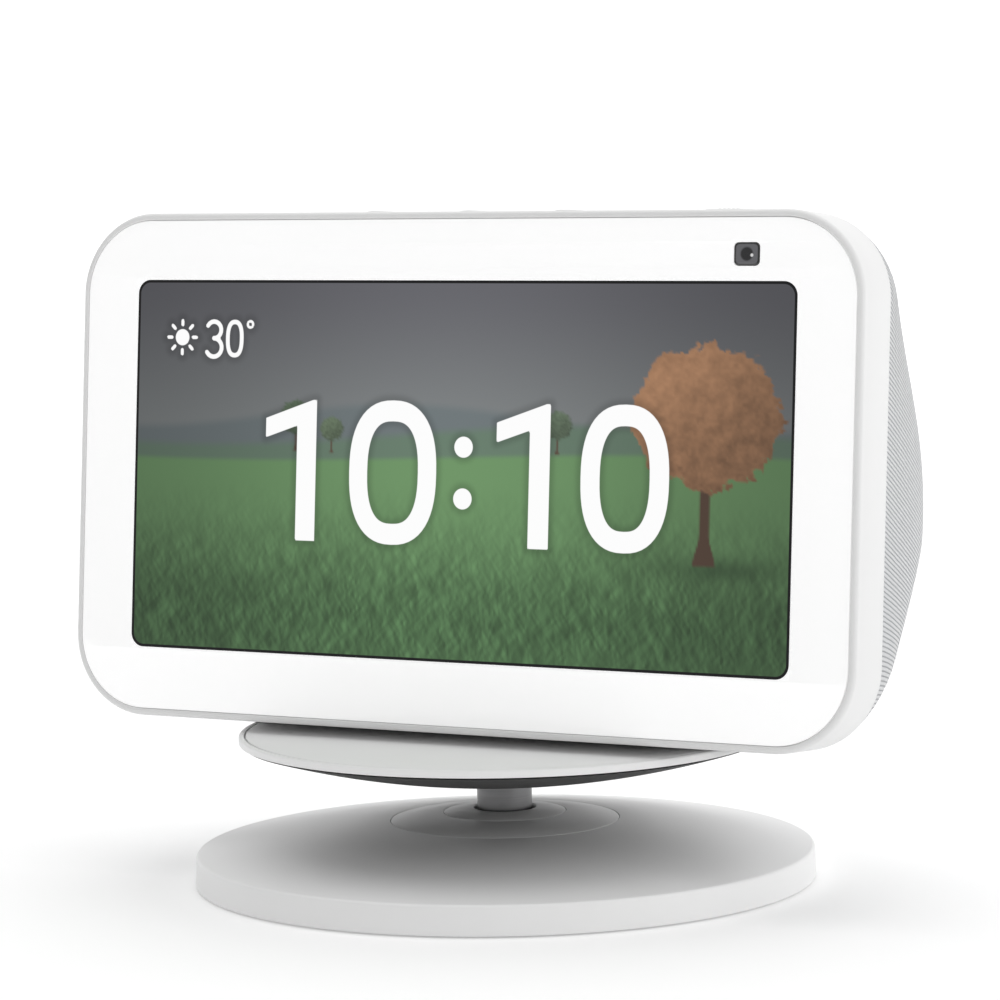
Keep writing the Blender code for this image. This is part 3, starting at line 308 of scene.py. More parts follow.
# ==== neck ====
# A turned steel stem with a satin finish: its spigot turns in the base's bush, and its bored
# knuckle carries the tilt pin. It rises from a dark gap in the collar.
def plate(outlines, low, high, edge=0.0, frame_matrix=Matrix.Identity(4)):
    """Flat solid between two heights: first outline filled, the rest cut out, edges rounded."""
    curve = bpy.data.curves.new("outline", "CURVE")
    curve.dimensions, curve.fill_mode = "2D", "BOTH"
    curve.extrude, curve.bevel_depth, curve.offset = (high - low) / 2 - edge, edge, -edge
    curve.bevel_resolution = 2
    for index, outline in enumerate(outlines):
        path = np.array(outline, float)[::1 if index == 0 else -1]
        spline = curve.splines.new("POLY")
        spline.points.add(len(path) - 1)
        spline.points.foreach_set("co", np.c_[path, np.zeros(len(path)), np.ones(len(path))].ravel())
        spline.use_cyclic_u = True
    holder = bpy.data.objects.new("outline", curve)
    mesh = bpy.data.meshes.new_from_object(holder)
    bpy.data.objects.remove(holder)
    bpy.data.curves.remove(curve)
    mesh.transform(frame_matrix @ Matrix.Scale(MM, 4) @ Matrix.Translation((0, 0, (high + low) / 2)))
    return mesh


def ring(radius, centre=(0.0, 0.0), steps=48):
    """A circle's points, counter-clockwise."""
    turn = np.linspace(0, 2 * pi, steps, endpoint=False)
    return np.stack((centre[0] + radius * np.cos(turn), centre[1] + radius * np.sin(turn)), -1)


def paint_neck(start):
    """Satin turned steel: fine rings round the axis, from noise stretched level, on a dark colour that is
    painted shade.
    """
    line = start.noise(1500.0, 2.0, (0.02, 0.02, 1.0))
    # Painted shade: the colour is set dark, 0.12 to 0.26, to how dark the stem looks in the shade under the
    # dish.
    return {"Base Color": line.blend((0.12, 0.12, 0.125), (0.26, 0.26, 0.26)),
            "Roughness": 0.3 + 0.14 * line, "Normal": line.bump(0.006 * MM, 0.7)}


satin_neck = look("satin_neck", paint_neck, Metallic=1.0, Anisotropic=0.4)
pin = 19.7
side_on = Matrix(((0, 0, 1, 0), (1, 0, 0, 0), (0, 1, 0, 0), (0, 0, 0, 1)))
shoulder = 9.8
solid("neck_stem", [turned([
    (0, 3.1), (3.0, 3.1), (3.0, shoulder), (4.4, shoulder), *bend((4.4, shoulder + 0.3), 0.3, -90, 0, 3),
    (4.7, 13.0), *bend((4.3, 16.1), 0.4, 0, 90, 4), (0, 16.5)], 96)],
    "neck", satin_neck, ["neck"])
solid("neck_knuckle", [plate([[(3.2, 15.8), *bend((0, pin), 3.2, 0, 180, 30), (-3.2, 15.8)],
                              ring(1.8, (0, pin))], -3.3, 3.3, 0.15, side_on)],
      "neck", satin_neck)


# ==== plate ====
# A moulded dish, drawn nearly black, with a white carrier over it, whose thin rim stands round a
# glued pad of white silicone; the long rounded key locates the display. All of it turns on the tilt pin.
def rounded(width, height, radius, centre=(0.0, 0.0), steps=16):
    """A rectangle's outline with round corners, counter-clockwise."""
    corners = [bend((centre[0] + sx * (width / 2 - radius), centre[1] + sy * (height / 2 - radius)),
                    radius, start, start + 90, steps)
               for sx, sy, start in ((1, 1, 0), (-1, 1, 90), (-1, -1, 180), (1, -1, 270))]
    return np.concatenate(corners)


def paint_dark(tone, rough, grain):
    """Dark moulded plastic: spark-eroded grain and a slight unevenness of sheen."""
    def paint(start):
        cloud, speck = start.noise(50.0, 3.0), start.noise(grain, 2.0)
        return {"Base Color": speck.blend((tone * 0.8,) * 3, (tone * 1.15,) * 3),
                "Roughness": rough + 0.12 * cloud, "Normal": speck.bump(0.02 * MM, 0.6)}
    return paint


# Nearly black, 0.045: on the dish this is partly its own darker moulding and partly painted shade, set to
# how dark its underside looks in shade.
dark_moulding = look("dark_moulding", paint_dark(0.045, 0.42, 3600.0))
white_silicone = look("white_silicone", paint_white(0.88, 0.6, 6500.0, 0.02), Sheen_Weight=0.1)
plate_top = 25.65
rise = np.linspace(8.5, 44.6, 24)
bowl = [(r, plate_top - 1.6 - 6.9 * (1 - (r / 44.6) ** 2)) for r in rise]
inside = [(r, h + 1.3) for r, h in bowl if r < 40.0][::-1]
solid("plate_dish", [turned([*bowl, (40.2, plate_top - 1.6), *inside], 224)],
      "plate", dark_moulding, ["dish_lower_shell"])
solid("plate_rim", [turned([
    (0, 23.35), (37.0, 23.35), (37.0, 24.35), *bend((45.05, 24.5), 0.15, -90, 0, 3),
    *bend((44.85, plate_top - 0.35), 0.35, 0, 90, 5), *bend((44.45, plate_top - 0.15), 0.15, 90, 180, 3),
    (44.3, 24.85), (0, 24.85)], 256)],
    "plate", white_paint, ["plate_carrier"])
key = (1.5, -4.2)
key_slot = rounded(45.6, 8.6, 4.25, key)
solid("plate_mat", [plate([ring(44.0, steps=192), key_slot], plate_top - 0.5, plate_top, 0.12)],
      "plate", white_silicone, ["plate_pad"])
solid("plate_locator", [plate([rounded(45.0, 8.0, 3.95, key)], plate_top - 0.5, plate_top + 3.4, 0.35)],
      "plate", white_paint, ["plate_key"])


# ==== bezel ====
# A white moulded frame: a narrow lip round the glass, a plain band, and holes along its top
# for the three buttons and the shutter's track. The fabric starts behind a fine dark seam.
lean = radians(5.2)
face_wide, face_tall, face_corner = 148, 87, 14
glass_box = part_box("front_glass")
face_centre = (glass_box[0] + glass_box[1]) / 2 - Vector((0, 0.7 * MM * cos(lean), -0.7 * MM * sin(lean)))
face = Matrix.Translation(face_centre) @ Matrix.Rotation(-lean, 4, "X")
flat_face = face @ Matrix(((1, 0, 0, 0), (0, 0, -1, 0), (0, 1, 0, 0), (0, 0, 0, 1)))


def cut(thing, tools):
    """Cuts closed meshes out of a piece for good."""
    for mesh in tools:
        tool = bpy.data.objects.new("tool", mesh)
        bpy.context.scene.collection.objects.link(tool)
        step = thing.modifiers.new("cut", "BOOLEAN")
        step.object, step.solver = tool, "EXACT"
        bpy.context.view_layer.update()
        result = bpy.data.meshes.new_from_object(thing.evaluated_get(bpy.context.evaluated_depsgraph_get()))
        thing.modifiers.remove(step)
        worn, thing.data = thing.data, result
        result.name = thing.name
        bpy.data.meshes.remove(worn)
        bpy.data.objects.remove(tool)
        bpy.data.meshes.remove(mesh)


white_moulding = look("white_moulding", paint_white(0.8, 0.36, 4200.0, 0.01))
section = [*bend((0.9, 0.9), 0.9, 180, 270, 8), *bend((1.05, 0.1), 0.1, 270, 360, 3), (1.15, 1.7),
           (3.6, 1.7), (3.6, 3.2), (1.8, 3.2), (1.8, 11.0), *bend((0.25, 10.75), 0.25, 90, 180, 3)]
loops = [np.insert(rounded(face_wide - 2 * inset, face_tall - 2 * inset, face_corner - inset, steps=32),
                   1, depth, axis=1) for inset, depth in section]
bezel = solid("bezel", [shape(loops, grid_faces(len(loops), len(loops[0]), True), face)],
              "display", white_moulding, ["bezel_frame"])
top = face_tall / 2
buttons = {"mic_mute": -18.0, "volume_down": 0.0, "volume_up": 18.0}
upward = face @ Matrix.Translation((0, 7.1 * MM, 0))
knob_y, open_x, travel = 5.6, 47.9, 5.5
middle = open_x + travel / 2
cut(bezel, [*(turned([(0, top - 4), (3.1, top - 4), (3.1, top + 1), (0, top + 1)], 48, "Z",
                     upward @ Matrix.Translation((x * MM, 0, 0))) for x in buttons.values()),
            plate([rounded(15.1, 4.0, 1.7, (middle, knob_y))], top - 1.05, top + 1, 0, face),
            plate([rounded(9.1, 2.0, 0.1, (middle, knob_y))], top - 3, top - 0.75, 0, face),
            plate([rounded(11.3, 2.35, 0.1, (middle, 2.575))], top - 5, top - 1.8, 0, face)])


# ==== buttons and shutter ====
# Three round press buttons stand slightly proud of the top edge, over rubber-domed switches.
# The long pill beside them slides a thin blade across the camera behind the glass.
for name, x in buttons.items():
    crown = [(0, top + 0.36), (1.4, top + 0.38), *bend((2.5, top + 0.1), 0.3, 80, 0, 5)]
    solid(f"{name}_cap", [turned([(0, 40.2), (1.0, 40.2), (1.0, 40.5), (3.5, 40.5), (3.5, 41.2), (2.8, 41.2),
                                  *crown[::-1]], 64, "Z", upward @ Matrix.Translation((x * MM, 0, 0)))],
          f"{name}_button", white_moulding, [f"{name}_button"])
grips = [plate([rounded(0.5, 2.2, 0.22, (open_x + shift, knob_y), 4)], top + 0.2, top + 0.4, 0.08, face)
         for shift in (-1.6, -0.8, 0.0, 0.8, 1.6)]
solid("shutter_slide", [
    plate([rounded(9.0, 3.4, 1.65, (open_x, knob_y))], top - 0.75, top + 0.3, 0.2, face), *grips,
    plate([rounded(3.0, 1.4, 0.1, (open_x, knob_y), 2)], top - 2.5, top - 0.6, 0, face),
    plate([rounded(4.0, 4.35, 0.1, (open_x, 3.925), 2)], top - 2.9, top - 2.1, 0, face),
    plate([rounded(5.2, 5.3, 0.2, (open_x, 36.55), 2)], -1.9, -1.55, 0, flat_face)],
    "camera_shutter", white_moulding, ["camera_shutter"])


# ==== front glass ====
# Cover glass with a white surround printed behind it, let into the lip. The camera's window is
# a small smoked pane with a darker print round its edge; the lens sits behind it.
def paint_surround(start):
    """White print seen through glass: almost even, with the least clouding."""
    cloud = start.noise(25.0, 2.0)
    return {"Base Color": cloud.blend((0.93, 0.93, 0.93), (0.95, 0.95, 0.95)),
            "Roughness": 0.07 + 0.03 * cloud}


def paint_window(start):
    """Smoked pane: nearly black round its edge, dark grey over the lens, and a painted glint, a small pale
    spot of highlight beside the lens's centre.
    """
    spot = start.node("ShaderNodeSeparateXYZ", values={0: start.node("ShaderNodeTexCoord", out=3)})
    tall = start.node("ShaderNodeSeparateXYZ", out=2, values={0: start.node("ShaderNodeTexCoord", out=3)})
    x = (spot - 53.4 * MM) / MM
    z = (tall - (face_centre.z + 36.3 * MM * cos(lean))) / MM
    far = ((x / 2.2) ** 6.0 + (z / 1.8) ** 6.0).step(0.3, 0.62)
    eye = (x * x + z * z) ** 0.5
    # Painted glint: a small pale spot of highlight just right of the lens's centre.
    glint = ((x - 0.9) * (x - 0.9) + (z + 0.2) * (z + 0.2)) ** 0.5
    pupil = eye.step(0.9, 1.3).blend((0.012, 0.012, 0.014), (0.13, 0.13, 0.14))
    base = far.blend(pupil, (0.012, 0.012, 0.012))
    return {"Base Color": glint.step(0.2, 0.34).blend((0.8, 0.8, 0.8), base),
            "Roughness": 0.06 + 0.04 * far}


# Painted light: the white surround glows faintly white, so that the print stays as bright as a lit white.
cover_glass = look("cover_glass", paint_surround, IOR=1.5, Coat_Weight=0.6, Coat_Roughness=0.03,
                   Emission_Color=(1.0, 1.0, 1.0, 1.0), Emission_Strength=0.25)
smoked_glass = look("smoked_glass", paint_window, IOR=1.5, Coat_Weight=0.5, Coat_Roughness=0.03)
half_x, half_z, rise_z, lip = 62.5, 31.8, 0.2, 1.3
pane = rounded(face_wide - 2 * lip, face_tall - 2 * lip, face_corner - lip, steps=32)
opening = [(-half_x, rise_z - half_z), (half_x, rise_z - half_z), (half_x, rise_z + half_z),
           (-half_x, rise_z + half_z)]
solid("glass_surround", [plate([pane, opening, rounded(4.6, 3.8, 0.8, (53.4, 36.3), 6)],
                               -1.25, -0.15, 0.08, flat_face)],
      "display", cover_glass, ["front_glass"])
solid("camera_pane", [plate([rounded(4.4, 3.6, 0.7, (53.4, 36.3), 8)], -1.25, -0.15, 0.05, flat_face)],
      "display", smoked_glass, ["camera_window"])


# ==== picture on the screen ====
# The lit panel, bonded behind the glass, with a thin black mask round it. It shows a meadow of
# no real place with a russet tree, all drawn by formula, the time in white figures, and a sun.
across_x, up_z = np.meshgrid(np.linspace(-half_x, half_x, 419),
                             np.linspace(rise_z + half_z, rise_z - half_z, 214))


def clouds(x, z, seed, size):
    """Smooth noise from nought to one: seeded lattice values joined by cubic steps."""
    knots = np.random.default_rng(seed).random((512, 512))
    u, v = x / size + 200, z / size + 200
    i, j = np.floor(u).astype(int), np.floor(v).astype(int)
    s, t = (u - i) ** 2 * (3 - 2 * (u - i)), (v - j) ** 2 * (3 - 2 * (v - j))
    i, j = i % 511, j % 511
    return ((knots[i, j] * (1 - s) + knots[i + 1, j] * s) * (1 - t)
            + (knots[i, j + 1] * (1 - s) + knots[i + 1, j + 1] * s) * t)


def smooth(value, start, stop):
    """Rises from nought at start to one at stop along 3t^2 - 2t^3."""
    share = np.clip((value - start) / (stop - start), 0, 1)
    return share * share * (3 - 2 * share)


def segments(points, closed=True):
    """Each side of an outline in turn, as its start and its run."""
    path = np.array(points, float)
    ends = np.roll(path, -1, 0)
    return [*zip(path, ends - path)][:None if closed else -1]


def line_distance(x, z, points, closed=True):
    """Distance to the nearest point on any side of an outline."""
    best = np.full(x.shape, 1e9)
    for (ax, az), (dx, dz) in segments(points, closed):
        share = np.clip(((x - ax) * dx + (z - az) * dz) / (dx * dx + dz * dz + 1e-12), 0, 1)
        best = np.minimum(best, np.hypot(x - ax - share * dx, z - az - share * dz))
    return best


def area_distance(x, z, points):
    """Distance to an outline, negative inside: inside is where a ray crosses an odd number of sides."""
    crossed = np.zeros(x.shape, bool)
    for (ax, az), (dx, dz) in segments(points):
        crossed ^= ((az > z) != (az + dz > z)) & (x < ax + dx * (z - az) / (dz if dz else 1e-12))
    return np.where(crossed, -1, 1) * line_distance(x, z, points)


def tint(red, green, blue):
    """A display colour out of 255 as linear light."""
    return (np.array((red, green, blue)) / 255.0) ** 2.2


def lay(picture, cover, colour):
    """Lays a colour, or a picture, over another where cover is one."""
    picture[:] = picture * (1 - cover[..., None]) + colour * cover[..., None]


def tree(x, foot, size, leaves, bark):
    """A flared trunk, and a crown of eight overlapping discs whose edge and light noise breaks up."""
    grain = sum(share * (clouds(across_x / size, up_z / size, seed, cell) - 0.5)
                for share, seed, cell in ((0.5, 31, 1.6), (0.35, 32, 0.8), (0.3, 33, 0.45)))
    centre = foot + 24 * size
    trunk = np.abs(across_x - x) - size * (0.9 + 1.1 * smooth(foot - up_z, -5 * size, 0))
    trunk = np.max([trunk, foot - up_z, up_z - centre], 0)
    lay(picture, 1 - smooth(trunk, -0.15, 0.15), tint(*bark))
    discs = [np.hypot(across_x - x - 6.5 * size * cos(a), up_z - centre - 5 * size * sin(a)) - 7 * size
             for a in np.arange(8) * pi / 4]
    lamp = 0.72 + 0.42 * smooth((up_z - centre - 0.6 * (across_x - x)) / size, -12, 12) + 0.55 * grain
    lay(picture, 1 - smooth(np.min(discs, 0) + 3 * size * grain, -0.3, 0.3), tint(*leaves) * lamp[..., None])


sky = smooth(up_z, 0, 34)[..., None]
picture = tint(118, 122, 122) * (1 - sky) + tint(90, 90, 95) * sky
for rise, length, shift, colour in ((9.0, 17.0, 2.1, (100, 108, 110)), (6.0, 26.0, 0.4, (94, 114, 98))):
    ridge = rise + 2.2 * np.sin(across_x / length + shift)
    lay(picture, 1 - smooth(up_z - ridge, -1.0, 1.0), tint(*colour))
near = smooth(-up_z, 0, 26)
brow = 2.5 + 1.2 * np.sin(across_x / 30)
meadow = tint(100, 135, 92) * (1 - near[..., None]) + tint(70, 98, 66) * near[..., None]
lay(picture, 1 - smooth(up_z - brow, -0.6, 0.6), meadow)
for seed, slant, gain in ((11, 0.15, 0.5), (12, -0.35, 0.45), (13, 0.6, 0.4), (14, -0.8, 0.35)):
    u, v = across_x * cos(slant) + up_z * sin(slant), up_z * cos(slant) - across_x * sin(slant)
    blade = clouds(u, v * 0.16, seed, 0.42) - 0.5
    picture *= (1 + gain * near * blade)[..., None]
shade = np.exp(-((across_x - 50) / 12) ** 2 - ((up_z + 14.5) / 1.8) ** 2)
lay(picture, 0.6 * shade, tint(50, 70, 48))
for x, foot, size, leaves in ((-30, 3.0, 0.24, (84, 100, 80)), (-23, 2.8, 0.17, (90, 104, 84)),
                              (20, 3.4, 0.2, (88, 102, 84)), (47, -14.0, 1.0, (158, 118, 88))):
    tree(x, foot, size, leaves, (84, 66, 54))
picture *= (0.6 + 0.6 * np.exp(-(across_x / 45) ** 2))[..., None]

turn = np.linspace(0, 2 * pi, 56, endpoint=False)


def oval(x, z, wide, tall, power=2.5):
    """A closed superellipse."""
    return np.stack((x + wide * np.sign(np.cos(turn)) * np.abs(np.cos(turn)) ** (2 / power),
                     z + tall * np.sign(np.sin(turn)) * np.abs(np.sin(turn)) ** (2 / power)), -1)


def one(left):
    """A figure one: an upright with a flag at its top left."""
    return [(left + 10.0, -12.2), (left + 10.0, 11.7), (left + 9.3, 11.7), (left, 8.5), (left, 5.2),
            (left + 6.2, 7.3), (left + 6.2, -12.2)]


sun_rays = [[(-53.3 + r * cos(a), 22.1 + r * sin(a)) for r in (2.15, 2.85)]
            for a in np.arange(8) * pi / 4]
three = [*bend((-46.9, 23.4), 1.45, 150, -90, 12), *bend((-46.9, 20.4), 1.6, 90, -150, 12)]
ink = np.min([
    area_distance(across_x, up_z, one(-36.0)), area_distance(across_x, up_z, one(8.7)),
    line_distance(across_x, up_z, oval(-11.0, -0.25, 6.65, 10.35)) - 1.75,
    line_distance(across_x, up_z, oval(32.5, -0.25, 6.3, 10.35)) - 1.75,
    np.hypot(across_x - 2.5, up_z - 4.3) - 1.75, np.hypot(across_x - 2.5, up_z + 4.3) - 1.75,
    np.hypot(across_x + 53.3, up_z - 22.1) - 1.4, line_distance(across_x, up_z, three, False) - 0.38,
    line_distance(across_x, up_z, oval(-42.7, 21.95, 1.4, 2.85)) - 0.38,
    line_distance(across_x, up_z, oval(-39.6, 24.4, 0.55, 0.55, 2.0)) - 0.22,
    *(line_distance(across_x, up_z, ray, False) - 0.3 for ray in sun_rays)], 0)
picture *= (1 - 0.28 * (1 - smooth(ink, 0.0, 1.6)))[..., None]
mask_corner = 2.4
beyond = np.stack((np.abs(across_x) - half_x, np.abs(up_z - rise_z) - half_z)) + mask_corner
mask = np.minimum(beyond.max(0), 0) + np.hypot(*np.maximum(beyond, 0)) - mask_corner


def paint_picture(start):
    """Lit picture from the vertex colours; white figures, black mask and white corners by distance, the
    corners glowing faintly as painted light.
    """
    ink_wire = start.node("ShaderNodeAttribute", {"attribute_name": "ink"}, 2)
    mask_wire = start.node("ShaderNodeAttribute", {"attribute_name": "mask"}, 2)
    colour = start.node("ShaderNodeAttribute", {"attribute_name": "picture"})
    lit = ink_wire.step(-0.07, 0.07).blend((1.0, 1.0, 1.0), colour)
    lit = mask_wire.step(-0.55, -0.45).blend(lit, (0.0, 0.0, 0.0))
    outside = mask_wire.step(-0.05, 0.02)
    return {"Base Color": outside.blend((0.006, 0.006, 0.007), (0.94, 0.94, 0.94)),
            # Painted light: the white corners outside the mask glow faintly, like the white surround.
            "Emission Color": outside.blend(lit, (0.27, 0.27, 0.27)),
            "Roughness": 0.08 + 0.02 * start.noise(30.0)}


panel_face = look("panel_face", paint_picture, IOR=1.5, Specular_IOR_Level=0.35, Emission_Strength=0.96)
rows, wide = across_x.shape
front = np.stack((across_x, np.full_like(across_x, 0.15), up_z), -1).reshape(-1, 3)
corner_ids = [(rows - 1) * wide, rows * wide - 1, wide - 1, 0]
back = front[corner_ids] + (0, 1.1, 0)
edges = [np.arange((rows - 1) * wide, rows * wide), np.arange(rows * wide - 1, 0, -wide)[:rows],
         np.arange(wide - 1, -1, -1), np.arange(0, rows * wide, wide)]
n = rows * wide
sides = [(*edge.tolist()[::-1], n + k, n + (k + 1) % 4) for k, edge in enumerate(edges)]
faces = [*grid_faces(rows, wide, False, False).tolist(), *sides, (n, n + 1, n + 2, n + 3)]
lit_panel = solid("lit_panel", [shape(np.concatenate((front, back)), faces, face)],
                  "display", panel_face)
screen = lit_panel.data
painted = np.concatenate((picture.clip(0, 1), np.ones((rows, wide, 1))), -1)
for name, kind, values in (("picture", "FLOAT_COLOR", painted), ("ink", "FLOAT", ink),
                           ("mask", "FLOAT", mask)):
    full = np.zeros((len(screen.vertices), *values.shape[2:]), np.float32)
    full[:n] = values.reshape(n, *values.shape[2:])
    screen.attributes.new(name, kind, "POINT").data.foreach_set(
        "color" if kind == "FLOAT_COLOR" else "value", full.ravel())


# ==== fabric ====
# A ribbed knit in pale grey drawn over the housing and tucked in behind the bezel. Its rows run
# down and back from the seam, level low down, and it is open below and round the power socket.
band = 11
band_y, band_z = band * cos(lean) + 0.3, -band * sin(lean)
straight_x, straight_z = face_wide / 2 - face_corner, face_tall / 2 - face_corner


def rear_depth(height):
    """Depth behind the band: falls as the 1.5 power above the widest level, as a square below."""
    up, down = np.clip((height + 12) / 55.5, 0, 1), np.clip((-12 - height) / 31.5, 0, 1)
    return 57 - 54 * up ** 1.5 - 17 * down ** 2


def half_width(height, inset):
    """Half the face's width at a height, its round corners moved inwards by the inset."""
    over_top = np.clip(height - straight_z, 0, face_corner - inset)
    over_low = np.clip(-height - straight_z, 0, face_corner)
    high = straight_x + np.sqrt((face_corner - inset) ** 2 - over_top ** 2)
    low = straight_x - inset + np.sqrt(face_corner ** 2 - over_low ** 2)
    return np.where(height < -straight_z, low, high)


def rear_surface(inset, levels=60, columns=193):
    """Level superellipse sections |x/w|^n + |d/D|^n = 1, boxiest round the middle."""
    arc = np.linspace(0, pi / 2, 13)
    height = np.concatenate([straight_z + (face_corner - inset) * np.cos(arc),
                             np.linspace(straight_z, -straight_z, levels)[1:-1],
                             -straight_z - face_corner * np.sin(arc)])[:, None]
    depth = np.min([rear_depth(np.clip(height + shift, -top, top)) for shift in (-inset, 0, inset)], 0)
    swell = np.exp(-((height - 6) / 22) ** 2)
    power = 2 / (2.33 + 0.42 * swell - 1.05 * np.clip((-12 - height) / 31.5, 0, 1) ** 1.35)
    turn = np.linspace(0, pi, columns)[None, :]
    turn = turn - 0.22 * np.sin(2 * turn)
    c, s = np.cos(turn), np.sin(turn)
    x = half_width(height, inset) * np.sign(c) * np.abs(c) ** power
    behind = np.maximum(depth - inset, 0.5) * np.abs(s) ** power
    y = band_y + height * sin(lean) + behind
    z = np.broadcast_to(band_z + height * cos(lean), x.shape)
    return np.stack((x, y, z), -1), height, behind


rib_pitch, stitch_pitch = 0.8, 0.62


def paint_knit(start):
    """Ribs across the rows with a slanted stitch along them; grooves darker as painted shade, yarn slightly
    mottled.
    """
    coordinate = start.node("ShaderNodeUVMap", {"uv_map": "knit"})
    along = start.node("ShaderNodeSeparateXYZ", values={0: coordinate})
    rows_up = start.node("ShaderNodeSeparateXYZ", out=1, values={0: coordinate})
    wander = start.noise(420.0, 2.0)
    row = rows_up + 0.16 * wander
    rib = row.wave(rib_pitch) ** 0.7
    phase = start.maths("FRACT", row / rib_pitch)
    stitch = (along + 0.34 * phase + 0.2 * wander).wave(stitch_pitch) ** 0.8
    height = rib * (0.62 + 0.38 * stitch)
    fuzz = start.noise(4200.0, 3.0)
    # Painted shade: the yarn's colour falls to dark grey down in the grooves between ribs and stitches.
    tone = (height * (0.86 + 0.28 * fuzz)).step(0.08, 0.82)
    large = start.noise(28.0, 2.0)
    pale = large.blend((0.68, 0.69, 0.7), (0.74, 0.745, 0.75))
    return {"Base Color": tone.blend((0.36, 0.37, 0.385), pale), "Roughness": 0.92 - 0.08 * tone,
            "Normal": (height + 0.12 * fuzz).bump(0.28 * MM, 0.85)}


knitted_fabric = look("knitted_fabric", paint_knit, Sheen_Weight=0.25, Sheen_Roughness=0.5,
                      Specular_IOR_Level=0.2)
seat = Matrix.Translation(face_centre)
outer, height, behind = rear_surface(0.3)
inner = rear_surface(1.2)[0]
levels, columns = outer.shape[:2]
step = np.linalg.norm(np.diff(outer, axis=1), axis=-1)
along = np.concatenate((np.zeros((levels, 1)), np.cumsum(step, 1)), 1)
along -= along[:, columns // 2][:, None]
climb = np.linalg.norm(np.diff(outer[::-1], axis=0), axis=-1)
climb = np.concatenate((np.zeros((1, columns)), np.cumsum(climb, 0)))[::-1]
sideways = np.abs(np.linspace(-1, 1, columns)) ** 0.8
rows_up = climb + 0.42 * smooth(height, -46.0, -2.0) * behind * sideways
count = levels * columns
outer_ids = np.arange(count).reshape(levels, columns)
inner_ids = outer_ids + count


def border(ids):
    """A grid's edge from its lower left up, down its right side, and along its foot."""
    return np.concatenate((ids[::-1, -1], ids[:, 0], ids[-1, 1:-1]))


one_edge, other_edge = border(outer_ids), border(inner_ids)
hem = np.stack((one_edge, np.roll(one_edge, -1), np.roll(other_edge, -1), other_edge), -1)
skin = grid_faces(levels, columns, False, False)
cover_mesh = shape(np.concatenate((outer.reshape(-1, 3), inner.reshape(-1, 3))),
                   [*skin.tolist(), *(skin[:, ::-1] + count).tolist(), outer_ids[0].tolist(),
                    inner_ids[0, ::-1].tolist(), *hem.tolist()], seat)
ids = np.empty(len(cover_mesh.loops), np.int32)
cover_mesh.loops.foreach_get("vertex_index", ids)
knit = np.tile(np.stack((along, np.broadcast_to(rows_up, along.shape)), -1).reshape(-1, 2), (2, 1))[ids]
cover_mesh.uv_layers.new(name="knit").uv.foreach_set("vector", knit.astype(np.float32).ravel())
cover = solid("knit_cover", [cover_mesh], "display", knitted_fabric, ["fabric_cover"], 50)

jack_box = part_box("power_jack")
jack = (jack_box[0] + jack_box[1]) / 2
jack.y = jack_box[0].y
socket = Matrix.Translation(jack)
cut(cover, [turned([(0, -4), (5.1, -4), (5.1, 24), (0, 24)], 48, "Y", socket)])


# ==== socket, foot and underside ====
# A black round power socket with its centre pin and sprung contact, a dark grey rubber foot
# glued in the housing's pocket, and the moulded housing that shows only from below.
black_moulding = look("black_moulding", paint_dark(0.02, 0.4, 4000.0))
solid("socket_body", [
    turned([(0, 0), (4.8, 0), *bend((4.5, 8.7), 0.3, 0, 90, 4), *bend((3.4, 8.7), 0.3, 90, 180, 4),
            (3.1, 1.0), (0, 1.0)], 64, "Y", socket),
    turned([(0, 0.9), (0.85, 0.9), *bend((0.55, 7.2), 0.3, 0, 90, 4), (0, 7.5)], 32, "Y", socket)],
    "display", black_moulding, ["power_jack"])
solid("socket_spring", [plate([rounded(0.9, 4.6, 0.4, (0, 2.9), 4)], 2.75, 2.95, 0.05,
                              socket @ Matrix.Translation((0, 2.6 * MM, 0)))],
      "display", bright_steel)

foot_low, foot_high = (1000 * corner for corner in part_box("rubber_foot"))
foot_power, foot_straight = 2 / 1.28, 2.0
turn = np.linspace(0, pi, 97)
half, deep = (foot_high.x - foot_low.x) / 2, foot_high.y - foot_low.y - foot_straight
foot_line = np.stack((half * np.sign(np.cos(turn)) * np.abs(np.cos(turn)) ** foot_power,
                      foot_low.y + foot_straight + deep * np.sin(turn) ** foot_power), -1)
foot_line = np.concatenate((foot_line, [(-half, foot_low.y), (half, foot_low.y)]))
solid("display_foot_pad", [plate([foot_line, key_slot], foot_low.z, foot_high.z, 0.25)],
      "display", grey_rubber, ["rubber_foot"])


# ==== inside and underneath ====
# The pieces that stay as drawn: screws, weight, bush, washers, brackets and the electronics.
# Each takes the finish of its own stock: cast, rolled, sintered, plated, moulded or laminated.
def paint_cast(tone, rough, size):
    """Cast or sintered metal: pitted surface, darker in the pits."""
    def paint(start):
        pit, cloud = start.noise(size, 4.0), start.noise(70.0, 3.0)
        dark = tuple(c * 0.6 for c in tone)
        return {"Base Color": pit.step(0.3, 0.62).blend(dark, tone), "Roughness": rough + 0.15 * cloud,
                "Normal": pit.bump(0.06 * MM, 0.7)}
    return paint


def paint_board(start):
    """Solder mask over copper: lighter tracks on a grid, bare bright pads where the noise is high."""
    place = start.node("ShaderNodeTexCoord", out=3)
    x = start.node("ShaderNodeSeparateXYZ", values={0: place})
    z = start.node("ShaderNodeSeparateXYZ", out=2, values={0: place})
    bend_noise = start.noise(160.0, 1.0)
    track = (z + 0.004 * bend_noise).wave(1.4 * MM).step(0.75, 0.9)
    pad = (x.wave(3.1 * MM) * z.wave(2.7 * MM)).step(0.93, 0.97) * start.noise(90.0).step(0.5, 0.55)
    mask = track.blend((0.012, 0.10, 0.045), (0.03, 0.19, 0.09))
    return {"Base Color": pad.blend(mask, (0.72, 0.66, 0.5)), "Metallic": pad * 0.9,
            "Roughness": 0.42 - 0.12 * pad, "Normal": (track + pad).bump(0.03 * MM)}


